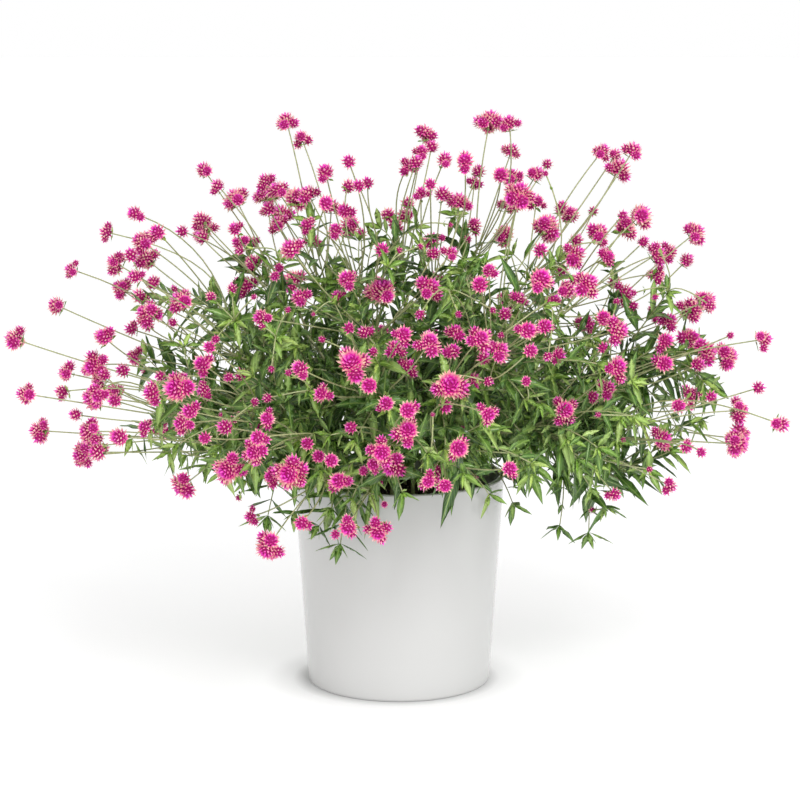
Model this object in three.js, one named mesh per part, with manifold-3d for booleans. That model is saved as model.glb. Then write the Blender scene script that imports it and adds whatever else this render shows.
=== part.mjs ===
// Globe amaranth in a tapered white pot. Millimetres, +Z up, the origin at the middle of the pot's foot and
// the plant's front at -Y. Each leafy stem stands in a hole in the potting mix and forks into branches.
// A flower spray stands on each branch's tip: a short axis from which thin stalks part, each with one bloom.
import * as THREE from "three";
import { mergeVertices } from "three/addons/utils/BufferGeometryUtils.js";
import Module from "manifold-3d";

const wasm = await Module();
wasm.setup();

// Pot
const POT_HEIGHT = 250;
const RIM_RADIUS = 125;
const FOOT_RADIUS = 108;
const POT_WALL = 7;
const POT_FLOOR = 9;
const FOOT_ROUNDING = 4;
const LIP_ROUNDING = 2;
const POT_SIDES = 40;

// Potting mix, a little higher at the middle
const MIX_EDGE = 226;
const MIX_TOP = 234;
const MIX_SIDES = 20;
const HOLE_DEPTH = 40;
const HOLE_RADIUS = 3.2;
const SEAT_GAP = 0.3;

// Stems: they seem to part at the crown, and their roots stand nearer the rim the flatter they grow
const CROWN_HEIGHT = 274;
const COLLAR_HEIGHT = MIX_TOP + 4;
const ROOT_OUT = 92;
const ROOT_IN = 14;
const ROOT_DRAWN_IN = 62;
const FORK_SHARE = 0.42;
const TIP_SHARE = 0.62;
const FORK_OVER_RIM = 30;
const TIP_OVER_RIM = 22;
const STEM_RADIUS = 2.5;
const BRANCH_RADIUS = 1.8;
const AXIS_RADIUS = 1.5;
const AXIS_FOOT = 8;
const STALK_RADIUS = 0.95;

// A branch or a stalk stands square out this far from what carries it before it turns. The cosine of the turn
// is never less than the sharpest, and a long stalk also bends once on its way.
const FORK_SPAN = 7;
const FORK_OUT = 6.4;
const STALK_OUT = 3.9;
const SHARPEST = 0.1;
const LONG_STALK = 160;

// The first branch may touch its trunk along this much of its length
const ROOT_LENGTH = 9;

// Leaves
const LEAF_LENGTH = 58;
const LEAF_WIDTH = 13;
const LEAF_THICKNESS = 1.3;
const LEAF_SPACING = 24;
const LEAF_NODE = 4;
const SMALL_LEAF = 54;

// Flower sprays and blooms, by diameter
const LEVEL_HEIGHT = 5;
const LARGE_BLOOM = 25;
const BUD = 14;
const DEPTH_SPREAD = 24;

// How clear of the rest each stem, stalk, bloom and leaf is bent, and how often it is tried
const CLEAR = 0.6;
const STEM_TRIES = 60;
const AXIS_TRIES = 30;
const BRANCH_TRIES = 60;
const BLOOM_TRIES = 160;
const LEAF_TRIES = 14;

// Blooms are placed as they look from the front, to an eye this far from the pot's axis and this high
const EYE_DISTANCE = 3137;
const EYE_HEIGHT = 905;

// The stems in view and the sprays on their tips. A bloom is [across, height, diameter], where it looks to
// stand on the upright plane through the pot's axis, and depth is how far behind that plane its spray stands.
const SEEN_STEMS = {
  far_left: [
    { depth: -30, blooms: [
      [-450, 410, 24], [-390, 370, 21], [-360, 380, 26], [-345, 370, 17], [-345, 415, 21],
      [-325, 375, 15],
    ] },
    { depth: -100, blooms: [
      [-440, 345, 21], [-390, 345, 19], [-360, 340, 24], [-350, 345, 20], [-335, 335, 14],
      [-380, 320, 17],
    ] },
  ],
  low_left: [
    { depth: -150, blooms: [
      [-365, 300, 24], [-355, 275, 22], [-335, 290, 22], [-300, 305, 17], [-275, 300, 18],
      [-255, 235, 26],
    ] },
    { depth: -235, blooms: [
      [-260, 350, 30], [-290, 345, 22], [-230, 380, 22], [-225, 400, 13], [-275, 365, 13],
      [-230, 350, 19], [-245, 320, 20], [-255, 310, 22], [-235, 300, 13],
    ] },
  ],
  upper_left: [
    { depth: 45, blooms: [
      [-385, 495, 17], [-400, 450, 21], [-325, 470, 21], [-310, 420, 17], [-310, 390, 19],
      [-300, 370, 11],
    ] },
    { depth: 10, blooms: [
      [-335, 535, 18], [-305, 555, 18], [-330, 500, 22], [-315, 505, 15], [-300, 525, 22],
      [-285, 535, 20], [-295, 505, 24],
    ] },
  ],
  left_shoulder: [
    { depth: -80, blooms: [
      [-305, 485, 18], [-290, 475, 17], [-300, 460, 19], [-295, 440, 24], [-265, 470, 9],
      [-255, 455, 24], [-265, 430, 11], [-295, 425, 13],
    ] },
    { depth: 90, blooms: [
      [-255, 535, 13], [-230, 550, 20], [-230, 530, 15], [-210, 595, 17], [-190, 575, 24],
      [-195, 535, 17], [-185, 525, 19],
    ] },
  ],
  top_left: [
    { depth: 70, blooms: [
      [-155, 595, 19], [-140, 580, 20], [-150, 560, 19], [-140, 545, 20], [-130, 665, 21],
      [-110, 640, 19], [-170, 500, 19],
    ] },
    { depth: -20, blooms: [
      [-85, 605, 21], [-60, 620, 14], [-105, 580, 21], [-85, 580, 15], [-65, 590, 15],
      [-50, 585, 13], [-70, 560, 19], [-70, 540, 18], [-105, 545, 17], [-45, 535, 12],
    ] },
  ],
  top: [
    { depth: 100, blooms: [
      [30, 650, 21], [20, 635, 17], [35, 640, 14], [20, 625, 15], [10, 615, 18], [-35, 595, 13],
      [-10, 555, 15], [5, 555, 19], [-5, 545, 18], [10, 570, 14],
    ] },
    { depth: 20, blooms: [
      [55, 615, 19], [75, 615, 20], [85, 600, 15], [50, 580, 20], [70, 570, 24], [85, 545, 18],
      [35, 600, 12], [30, 580, 17], [80, 530, 9], [50, 530, 8],
    ] },
  ],
  top_right: [
    { depth: 120, blooms: [
      [105, 665, 25], [130, 660, 20], [130, 630, 19], [130, 600, 22], [110, 610, 15],
      [155, 605, 19], [170, 620, 12], [145, 605, 9],
    ] },
    { depth: 50, blooms: [
      [235, 630, 19], [250, 625, 17], [255, 610, 24], [270, 630, 20], [225, 565, 11],
      [200, 555, 21],
    ] },
  ],
  right_shoulder: [
    { depth: -50, blooms: [
      [140, 580, 28], [135, 565, 12], [170, 540, 28], [165, 515, 15], [205, 510, 24],
      [190, 495, 15], [210, 530, 15], [230, 535, 24],
    ] },
    { depth: 10, blooms: [
      [255, 560, 11], [260, 545, 25], [280, 555, 26], [285, 525, 13], [300, 510, 21],
      [315, 515, 21], [300, 490, 20], [335, 505, 19], [240, 505, 18],
    ] },
  ],
  right: [
    { depth: 80, blooms: [
      [345, 535, 22], [345, 445, 22], [360, 455, 22], [300, 440, 18], [315, 430, 19],
      [275, 450, 11], [250, 475, 14],
    ] },
    { depth: -20, blooms: [
      [430, 405, 21], [385, 390, 25], [360, 395, 26], [350, 380, 19], [390, 415, 9],
      [370, 350, 12], [310, 405, 21], [310, 385, 21],
    ] },
  ],
  low_right: [
    { depth: -80, blooms: [
      [445, 315, 20], [430, 350, 14], [400, 325, 24], [400, 285, 24], [340, 280, 17],
      [365, 280, 11], [330, 330, 15], [310, 290, 24],
    ] },
    { depth: -180, blooms: [
      [255, 375, 26], [240, 400, 12], [245, 350, 21], [230, 340, 17], [195, 325, 26],
      [255, 225, 18], [320, 235, 18], [295, 255, 8],
    ] },
  ],
  front_left: [
    { depth: -270, blooms: [
      [-205, 305, 17], [-195, 340, 15], [-190, 360, 15], [-155, 315, 19], [-165, 305, 17],
      [-160, 290, 20], [-170, 275, 24], [-200, 255, 31],
    ] },
    { depth: -255, blooms: [
      [-130, 250, 30], [-150, 245, 20], [-175, 195, 18], [-155, 160, 28], [-115, 190, 19],
      [-95, 270, 14], [-80, 265, 15], [-110, 285, 14],
    ] },
  ],
  front: [
    { depth: -275, blooms: [
      [-70, 240, 22], [-75, 230, 13], [-45, 250, 11], [-60, 185, 22], [-25, 180, 25],
      [-75, 175, 11], [-20, 210, 8],
    ] },
    { depth: -330, blooms: [
      [-20, 275, 27], [-30, 260, 18], [-10, 260, 26], [10, 300, 28], [-10, 295, 13], [10, 325, 22],
      [-10, 330, 20], [-55, 310, 14],
    ] },
  ],
  front_right: [
    { depth: -315, blooms: [
      [85, 300, 19], [70, 280, 24], [55, 265, 22], [50, 255, 17], [35, 240, 20], [55, 235, 18],
      [105, 315, 21], [130, 255, 20],
    ] },
    { depth: -285, blooms: [
      [60, 355, 31], [80, 360, 22], [70, 345, 24], [55, 330, 15], [65, 390, 21], [95, 410, 24],
      [115, 395, 24], [100, 385, 15], [70, 415, 21],
    ] },
  ],
  middle: [
    { depth: -290, blooms: [
      [-55, 380, 33], [-35, 355, 17], [-115, 375, 21], [-90, 345, 20], [-40, 420, 18],
      [-55, 420, 13], [5, 415, 21], [-5, 400, 21], [5, 380, 21], [35, 405, 26],
    ] },
    { depth: -170, blooms: [
      [-20, 465, 32], [35, 470, 26], [-60, 480, 22], [-70, 460, 17], [-115, 460, 20],
      [-160, 435, 20], [-125, 515, 24], [-20, 515, 15], [40, 510, 17], [60, 510, 19],
    ] },
  ],
  middle_right: [
    { depth: -220, blooms: [
      [150, 420, 22], [170, 425, 20], [140, 435, 15], [155, 400, 18], [185, 390, 18],
      [140, 460, 18], [180, 450, 18], [195, 465, 21], [220, 475, 26], [165, 480, 26],
      [105, 490, 18], [95, 475, 17], [255, 420, 26],
    ] },
  ],
};

// The stems behind are out of view from the front, and their sprays stand on the same dome by rule
const BACK_STEMS = 4;
const BACK_BLOOMS = 6;
const BACK_SPREAD = 0.42;
const DOME_ACROSS = 385;
const DOME_DEEP = 345;
const DOME_HIGH = 330;
const DOME_BASE = 262;

// Leafy shoots on the trunks behind, which lean out over the rim: where on the trunk each parts from it,
// how far round from the trunk's own way it leans, and how high it ends
const SHOOTS = [
  { share: 0.36, aside: -0.42, height: 245 },
  { share: 0.56, aside: 0.34, height: 335 },
  { share: 0.76, aside: -0.3, height: 385 },
];
const SHOOT_ACROSS = 280;
const SHOOT_DEEP = 265;
const SHOOT_TRIES = 60;
const SHOOT_RADIUS = 1.5;
const SHOOT_LEAF_SPACING = 35;

const UP = new THREE.Vector3(0, 0, 1);
const CROWN = new THREE.Vector3(0, 0, CROWN_HEIGHT);
const vec = (x, y, z) => new THREE.Vector3(x, y, z);
const mean = (points) => points.reduce((sum, p) => sum.add(p), vec(0, 0, 0)).divideScalar(points.length);
const potRadius = (z) => FOOT_RADIUS + ((RIM_RADIUS - FOOT_RADIUS) * z) / POT_HEIGHT;

// A repeatable draw between 0 and 1 from whole-number keys
function chance(...keys) {
  const modulus = 67108859;
  let mixed = 90001;
  for (const key of [...keys, 5, 11]) mixed = (mixed * mixed + key * 7919 + 104729) % modulus;
  return mixed / modulus;
}

const between = (low, high, ...keys) => low + (high - low) * chance(...keys);
const jolt = (...keys) => vec(...[1, 2, 3].map((key) => between(-1, 1, ...keys, key)));

// Where a bloom seen at a place on the upright plane through the pot's axis stands, at a depth behind it
function seenAt(across, height, depth) {
  const share = 1 + depth / EYE_DISTANCE;
  return vec(across * share, depth, EYE_HEIGHT + (height - EYE_HEIGHT) * share);
}

// Everything placed so far, as round-ended rods, so that what comes later is bent clear of it. A rod that
// isn't free is a limb's root, which may touch the rest of its own node.
const placed = [];

function rodDistance(p, q, a, b) {
  const along = q.clone().sub(p);
  const other = b.clone().sub(a);
  const apart = p.clone().sub(a);
  const alongAlong = along.dot(along);
  const otherOther = other.dot(other);
  const alongOther = along.dot(other);
  const alongApart = along.dot(apart);
  const otherApart = other.dot(apart);
  const span = alongAlong * otherOther - alongOther * alongOther;
  const clamp = (x) => Math.min(1, Math.max(0, x));
  let s = span > 1e-9 ? clamp((alongOther * otherApart - alongApart * otherOther) / span) : 0;
  const t = otherOther > 1e-9 ? clamp((alongOther * s + otherApart) / otherOther) : 0;
  s = alongAlong > 1e-9 ? clamp((alongOther * t - alongApart) / alongAlong) : 0;
  return p.clone().addScaledVector(along, s).distanceTo(a.clone().addScaledVector(other, t));
}

// How far a ball stands clear of the pot's wall and of the mix
function potClearance(at, radius) {
  const out = Math.hypot(at.x, at.y);
  const overRim = at.z - radius - POT_HEIGHT;
  const outside = out - radius - potRadius(Math.min(at.z, POT_HEIGHT));
  const inside = potRadius(Math.min(at.z, POT_HEIGHT)) - POT_WALL - out - radius;
  const overMix = at.z - radius - MIX_TOP;
  return Math.max(overRim, outside, Math.min(inside, overMix));
}

function clearance(rods, node) {
  const ballStep = 8;
  let least = Infinity;
  for (const { p, q, r, free } of rods) {
    for (const other of placed) {
      if (other.node === node && !free) continue;
      const reach = p.distanceTo(q) + other.length;
      if (p.distanceTo(other.p) - reach - r - other.r > least) continue;
      least = Math.min(least, rodDistance(p, q, other.p, other.q) - r - other.r);
    }
    const steps = Math.max(1, Math.ceil(p.distanceTo(q) / ballStep));
    for (let i = 0; i <= steps; i++) least = Math.min(least, potClearance(p.clone().lerp(q, i / steps), r));
  }
  return least;
}

// Places the first try that stands clear and has no sharp bend, or else the clearest one, unless it may be
// left out
function settle(node, tries, draw, optional = false) {
  let best = null;
  for (let k = 0; k < tries; k++) {
    const made = draw(k);
    const gap = Math.min(clearance(made.rods, node), made.ease ?? Infinity);
    if (!best || gap > best.gap) best = { ...made, gap };
    if (gap > CLEAR) break;
  }
  if (best.gap <= CLEAR && optional) return null;
  for (const rod of best.rods) placed.push({ ...rod, node, length: rod.p.distanceTo(rod.q) });
  return best;
}

const rodsAlong = (points, r) => points.slice(1).map((q, i) => ({ p: points[i], q, r, free: true }));

// Rods along a limb, the first of them split off as its root
function limbRods(points, r) {
  const [start, next] = points;
  const split = start.clone().lerp(next, Math.min(0.9, ROOT_LENGTH / start.distanceTo(next)));
  return [{ p: start, q: split, r, free: false }, ...rodsAlong([split, ...points.slice(1)], r)];
}

// Plan of the plant: stems, each with its sprays, each with its blooms
function seenStems() {
  return Object.entries(SEEN_STEMS).map(([name, sprays], key) => ({
    name,
    key,
    sprays: sprays.map(({ depth, blooms }) => ({
      blooms: blooms.map(([across, height, diameter]) => ({
        at: seenAt(across, height, depth),
        radius: (diameter / 2) * (1 + depth / EYE_DISTANCE),
        place: (shift) => seenAt(across, height, depth + shift),
      })),
    })),
  }));
}

function backBloom(round, climb, ...keys) {
  const azimuth = round + between(-BACK_SPREAD, BACK_SPREAD, ...keys, 2);
  const height = climb + between(-BACK_SPREAD, BACK_SPREAD, ...keys, 3) * 0.7;
  const reach = between(0.92, 1.12, ...keys, 4);
  const at = vec(
    DOME_ACROSS * reach * Math.cos(azimuth) * Math.cos(height),
    DOME_DEEP * reach * Math.sin(azimuth) * Math.cos(height),
    DOME_BASE + DOME_HIGH * reach * Math.sin(height),
  );
  const outward = at.clone().sub(CROWN).normalize();
  const radius = between(8, 13, ...keys, 5);
  return { at, radius, place: (shift) => at.clone().addScaledVector(outward, shift) };
}

function backStems(firstKey) {
  return Array.from({ length: BACK_STEMS }, (_, s) => {
    const key = firstKey + s;
    const sprays = [0, 1].map((half) => {
      const round = (Math.PI * (s * 2 + half + 0.5)) / (2 * BACK_STEMS);
      const climb = half === s % 2 ? between(0.12, 0.35, key, half, 1) : between(0.75, 1.05, key, half, 1);
      return { blooms: Array.from({ length: BACK_BLOOMS }, (_, i) => backBloom(round, climb, key, half, i)) };
    });
    return { name: "back_" + (s + 1), key, sprays, behind: true };
  });
}

// A trunk from the mix to its fork
function growTrunk(stem) {
  for (const spray of stem.sprays) {
    spray.middle = mean(spray.blooms.map((bloom) => bloom.at));
    spray.tip = CROWN.clone().lerp(spray.middle, TIP_SHARE);
    spray.tip.z = Math.max(spray.tip.z, POT_HEIGHT + TIP_OVER_RIM);
  }
  const middle = mean(stem.sprays.map((spray) => spray.tip));
  const steepness = Math.max(0, Math.atan2(middle.z - CROWN.z, Math.hypot(middle.x, middle.y)));
  const grown = settle("leafy_stem_" + stem.name, STEM_TRIES, (k) => {
    const stray = 1.5 * k;
    const [outward, around, upward] = jolt(stem.key, k, 6).toArray();
    const rootOut = Math.max(ROOT_IN, ROOT_OUT - ROOT_DRAWN_IN * steepness) + outward * Math.min(12, stray);
    const azimuth = Math.atan2(middle.y, middle.x) + around * Math.min(0.6, 0.02 * stray);
    const collar = vec(rootOut * Math.cos(azimuth), rootOut * Math.sin(azimuth), COLLAR_HEIGHT);
    const fork = CROWN.clone().lerp(middle, FORK_SHARE);
    fork.z = Math.max(fork.z, POT_HEIGHT + FORK_OVER_RIM) + upward * Math.min(12, stray);
    const rise = fork.distanceTo(collar);
    const low = collar.clone().addScaledVector(UP, rise * 0.45);
    const high = fork.clone().lerp(collar, 0.3).addScaledVector(UP, rise * 0.12);
    const trunk = new THREE.CubicBezierCurve3(collar, low, high, fork);
    return { collar, fork, trunk, rods: rodsAlong(trunk.getPoints(5), STEM_RADIUS + 0.5) };
  });
  Object.assign(stem, grown);
  const apart = stem.sprays.at(-1).tip.clone().sub(stem.sprays[0].tip);
  stem.aside = sideways(grown.trunk.getTangent(1), apart.length() ? apart : middle)[0];
}

// A branch to each spray. The first goes on from the trunk's end, and the second parts from the trunk's side,
// just below its end and away from the first.
function growBranch(spray, stem, i) {
  const direct = spray.tip.clone().sub(stem.fork);
  const reach = direct.length();
  const onward = stem.trunk.getTangent(1);
  const from = stem.fork.clone();
  if (i) from.addScaledVector(onward, (-2 / 3) * FORK_SPAN).addScaledVector(stem.aside, FORK_OUT);
  const start = onward.add(direct.normalize()).multiplyScalar(0.2 * reach);
  const branch = settle("leafy_stem_" + stem.name, BRANCH_TRIES, (k) => {
    const knee = from.clone().add(start).addScaledVector(jolt(stem.key, k, i, 9), Math.min(24, 1.5 * k));
    if (i) knee.addScaledVector(stem.aside, 0.1 * reach);
    const curve = new THREE.QuadraticBezierCurve3(from, knee, spray.tip.clone());
    const points = curve.getPoints(6);
    const r = BRANCH_RADIUS + 0.4;
    if (!i) return { curve, rods: limbRods(points, r) };
    const root = { p: from.clone().addScaledVector(stem.aside, -FORK_OUT), q: from, r, free: false };
    const ease = curve.getTangent(0).dot(stem.aside) - SHARPEST + CLEAR;
    return { curve, ease, rods: [root, ...rodsAlong(points, r)] };
  });
  stem.branches.push(branch.curve);
}

// The way that a trunk's side looks that faces a direction best. One of its three sides is turned aside.
function sideOfTrunk(stem, onward, towards) {
  const [aside, square] = sideways(onward, stem.aside);
  const third = (2 * Math.PI) / 3;
  const ways = [0, third, -third].map((turn) =>
    aside.clone().multiplyScalar(Math.cos(turn)).addScaledVector(square, Math.sin(turn)));
  return ways.reduce((one, other) => (other.dot(towards) > one.dot(towards) ? other : one));
}

// A leafy shoot without flowers, from a side of the trunk out over the rim
function growShoot(stem, i) {
  const { share, aside, height } = SHOOTS[i];
  const parting = stem.trunk.getPoint(share);
  const onward = stem.trunk.getTangent(share);
  const outward = stem.fork.clone().sub(CROWN);
  const shoot = settle("leafy_stem_" + stem.name, SHOOT_TRIES, (k) => {
    const azimuth = Math.atan2(outward.y, outward.x) + aside + between(-0.01, 0.01, stem.key, i, k, 31) * k;
    const reach = between(0.88, 1, stem.key, i, k, 32);
    const end = vec(SHOOT_ACROSS * reach * Math.cos(azimuth), SHOOT_DEEP * reach * Math.sin(azimuth), height);
    end.addScaledVector(jolt(stem.key, i, k, 33), Math.min(20, k));
    const facing = sideOfTrunk(stem, onward, end.clone().sub(parting).normalize());
    const from = parting.clone().addScaledVector(facing, FORK_OUT);
    const span = end.distanceTo(from);
    const knee = from.clone().lerp(end, 0.4).addScaledVector(UP, 0.2 * span);
    knee.addScaledVector(facing, 0.1 * span).addScaledVector(jolt(stem.key, i, k, 34), Math.min(24, 0.8 * k));
    const curve = new THREE.QuadraticBezierCurve3(from, knee, end);
    const r = SHOOT_RADIUS + 0.4;
    const root = { p: parting, q: from, r, free: false };
    const ease = curve.getTangent(0).dot(facing) - SHARPEST + CLEAR;
    return { share, parting, from, facing, curve, ease, rods: [root, ...rodsAlong(curve.getPoints(6), r)] };
  }, true);
  if (shoot) stem.shoots.push(shoot);
}

// A spray's axis goes on from its branch's tip towards its blooms. The stalks part square from its three
// sides, level by level, and one goes on from its top.
function growAxis(spray, stem, i) {
  spray.node = "flower_spray_" + stem.name + "_" + (i + 1);
  spray.levels = Math.ceil(spray.blooms.length / 2);
  const onward = stem.branches[i].getTangent(1);
  const aim = spray.middle.clone().sub(spray.tip).normalize().lerp(onward, 0.35).normalize();
  spray.start = spray.tip.clone().addScaledVector(onward, SEAT_GAP);
  spray.foot = spray.start.clone().addScaledVector(onward, AXIS_FOOT);
  spray.top = settle(spray.node, AXIS_TRIES, (k) => {
    const top = spray.foot.clone().addScaledVector(aim, spray.levels * LEVEL_HEIGHT);
    top.addScaledVector(jolt(stem.key, i, k, 12), Math.min(8, 0.5 * k));
    return { top, rods: rodsAlong([spray.foot, top], AXIS_RADIUS + 0.3) };
  }).top;
  const root = { p: spray.start, q: spray.foot, r: AXIS_RADIUS + 0.3, free: true };
  placed.push({ ...root, node: spray.node, length: AXIS_FOOT });
  spray.flat = sideways(onward)[0];
  const axis = spray.top.clone().sub(spray.foot).normalize();
  const [a, b] = sideways(axis, carried(spray.flat.clone().negate(), onward, axis));
  spray.sites = [];
  for (let level = 0; level < spray.levels; level++) {
    for (let side = 0; side < 3; side++) {
      const turn = (Math.PI * (2 * side + 1)) / 3;
      const facing = a.clone().multiplyScalar(Math.cos(turn)).addScaledVector(b, Math.sin(turn));
      const at = spray.foot.clone().lerp(spray.top, (level + 1 / 3) / spray.levels);
      spray.sites.push({ level, side, facing, at, out: at.clone().addScaledVector(facing, STALK_OUT) });
    }
  }
}

// The bloom that lies most straight ahead of the axis comes first, and then the largest of the rest
function growthOrder({ blooms, top, foot }) {
  const axis = top.clone().sub(foot).normalize();
  const ahead = (bloom) => bloom.at.clone().sub(top).normalize().dot(axis);
  const first = blooms.reduce((one, other) => (ahead(other) > ahead(one) ? other : one));
  const rest = blooms.filter((bloom) => bloom !== first);
  return [first, ...rest.sort((one, other) => other.radius - one.radius)];
}

// The free side of the axis that faces a bloom best
function takeSite(spray, bloom) {
  const facing = (site) => bloom.at.clone().sub(site.at).normalize().dot(site.facing);
  const best = spray.sites.reduce((one, other) => (facing(other) > facing(one) ? other : one));
  spray.sites.splice(spray.sites.indexOf(best), 1);
  return best;
}

// A bloom on its stalk, which bends over towards the bloom
function growBloom(bloom, spray, rank, ...keys) {
  const axis = spray.top.clone().sub(spray.foot).normalize();
  const ahead = { facing: axis, at: spray.top, out: spray.top.clone().addScaledVector(axis, STALK_OUT) };
  bloom.site = rank ? takeSite(spray, bloom) : ahead;
  const { facing, at: root, out: parting } = bloom.site;
  const grown = settle(spray.node, BLOOM_TRIES, (k) => {
    const at = bloom.place(between(-1, 1, ...keys, k, 15) * (DEPTH_SPREAD + 1.2 * k));
    at.addScaledVector(jolt(...keys, k, 16), 0.1 * k);
    const reach = at.distanceTo(parting);
    const knee = parting.clone().lerp(at, 0.3).addScaledVector(axis, reach * 0.1);
    knee.addScaledVector(facing, reach * 0.1);
    knee.addScaledVector(jolt(...keys, k, 17), Math.min(0.25 * reach, 2 + 0.6 * k));
    const along = at.clone().sub(knee).normalize();
    const neck = at.clone().addScaledVector(along, -0.8 * bloom.radius);
    const bend = new THREE.QuadraticBezierCurve3(parting, knee, neck).getPoints(reach < LONG_STALK ? 1 : 2);
    const head = { p: at, q: at, r: bloom.radius * 1.1, free: true };
    const r = STALK_RADIUS + 0.2;
    const foot = { p: root, q: parting, r, free: false };
    const way = (i) => bend.at(i + 1).clone().sub(bend.at(i)).normalize();
    const ease = Math.min(way(0).dot(facing) - SHARPEST, way(-2).dot(along) - SHARPEST) + CLEAR;
    return { at, along, stalk: [root, ...bend], ease, rods: [foot, ...rodsAlong(bend, r), head] };
  });
  Object.assign(bloom, grown);
}

// A leaf that arches down from its stem: the line along its middle
function growLeaf(stem, base, along, angle, share, ...keys) {
  return settle("leafy_stem_" + stem.name, LEAF_TRIES, (k) => {
    const [a, b] = sideways(along);
    const turned = angle + (between(-0.8, 0.8, ...keys, k, 21) * k) / LEAF_TRIES;
    const lean = between(0.35, 0.65, ...keys, k, 22);
    const out = a.clone().multiplyScalar(Math.cos(turned)).addScaledVector(b, Math.sin(turned));
    out.multiplyScalar(1 - lean * 0.4).addScaledVector(along, lean).addScaledVector(UP, 0.15).normalize();
    const length = LEAF_LENGTH * (1.12 - 0.35 * share) * between(0.85, 1.1, ...keys, 23) * (1 - 0.05 * k);
    const at = (part, drop) =>
      base.clone().addScaledVector(out, length * part).addScaledVector(UP, -drop * length);
    const line = length < SMALL_LEAF ? [at(0, 0), at(0.5, 0.04), at(0.98, 0.2)]
      : [at(0, 0), at(0.38, 0.02), at(0.72, 0.11), at(0.97, 0.27)];
    const width = (LEAF_WIDTH * length) / LEAF_LENGTH;
    const [root, neck, wide] = [0, 0.28, 0.5].map((part) => line[0].clone().lerp(line[1], part));
    const rods = [{ p: root, q: neck, r: 1.6, free: false }, { p: neck, q: wide, r: 1.6, free: true }];
    rods.push({ p: wide, q: line[1], r: width * 0.3, free: true }, ...rodsAlong(line.slice(1), width * 0.42));
    return { out, line, width, rods };
  }, true);
}

// Leaves in opposite pairs up a curve, each pair square to the last. On a trunk they end below the fork.
function growLeaves(stem, curve, c) {
  const length = curve.getLength();
  const from = c ? 0.12 : 0.3;
  const until = c ? 1 : 1 - (FORK_SPAN + LEAF_NODE) / length;
  const spacing = c > stem.branches.length ? SHOOT_LEAF_SPACING : LEAF_SPACING;
  const count = Math.max(1, Math.round((length * (until - from)) / spacing));
  const pairs = [];
  for (let n = 0; n < count; n++) {
    const share = from + ((until - from) * (n + 0.5)) / count;
    const quarter = ((c + n) % 2) * (Math.PI / 2) + between(-0.5, 0.5, stem.key, c, n, 20);
    const [base, along] = [curve.getPoint(share), curve.getTangent(share)];
    const leaves = [0, 1].map((half) =>
      growLeaf(stem, base, along, quarter + half * Math.PI, c ? share : 0, stem.key, c, n, half));
    pairs.push({ share, margin: LEAF_NODE / 2 / length, leaves: leaves.filter(Boolean) });
  }
  return pairs.filter(({ leaves }) => leaves.length);
}

// The trunk's nodes from its foot up: its pairs of leaves, and its shoots. A pair that would meet a shoot's
// foot is left out.
function trunkNodes({ trunk, shoots, pairs }) {
  const length = trunk.getLength();
  const margin = FORK_SPAN / 2 / length;
  const apart = margin + (LEAF_NODE / 2 + 1) / length;
  const free = pairs[0].filter(({ share }) => shoots.every((shoot) => Math.abs(shoot.share - share) > apart));
  const parted = shoots.map((shoot) => ({ share: shoot.share, margin, leaves: [], shoot }));
  return [...free, ...parted].sort((one, other) => one.share - other.share);
}

// A direction turned as little as takes one way to another
function carried(direction, from, to) {
  return direction.clone().applyQuaternion(new THREE.Quaternion().setFromUnitVectors(from, to));
}

// Two directions square to a given one, the first as near as can be to a direction asked for
function sideways(along, last) {
  const first = last ?? (Math.abs(along.z) > 0.9 ? vec(1, 0, 0) : UP);
  const a = first.clone().addScaledVector(along, -first.dot(along)).normalize();
  return [a, along.clone().cross(a)];
}

const stems = seenStems();
stems.push(...backStems(stems.length));
for (const stem of stems) growTrunk(stem);
for (const stem of stems) {
  stem.branches = [];
  stem.sprays.forEach((spray, i) => growBranch(spray, stem, i));
}
for (const stem of stems) stem.sprays.forEach((spray, i) => growAxis(spray, stem, i));
for (const stem of stems) {
  stem.sprays.forEach((spray, i) => {
    growthOrder(spray).forEach((bloom, rank) => growBloom(bloom, spray, rank, stem.key, i, rank));
  });
}
for (const stem of stems) {
  stem.shoots = [];
  if (stem.behind) SHOOTS.forEach((_, i) => growShoot(stem, i));
}
for (const stem of stems) {
  const curves = [stem.trunk, ...stem.branches, ...stem.shoots.map(({ curve }) => curve)];
  stem.pairs = curves.map((curve, c) => growLeaves(stem, curve, c));
}

// Solids
function toSolid(vertProperties, triVerts) {
  return new wasm.Manifold(new wasm.Mesh({ numProp: 3, vertProperties, triVerts }));
}

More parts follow.
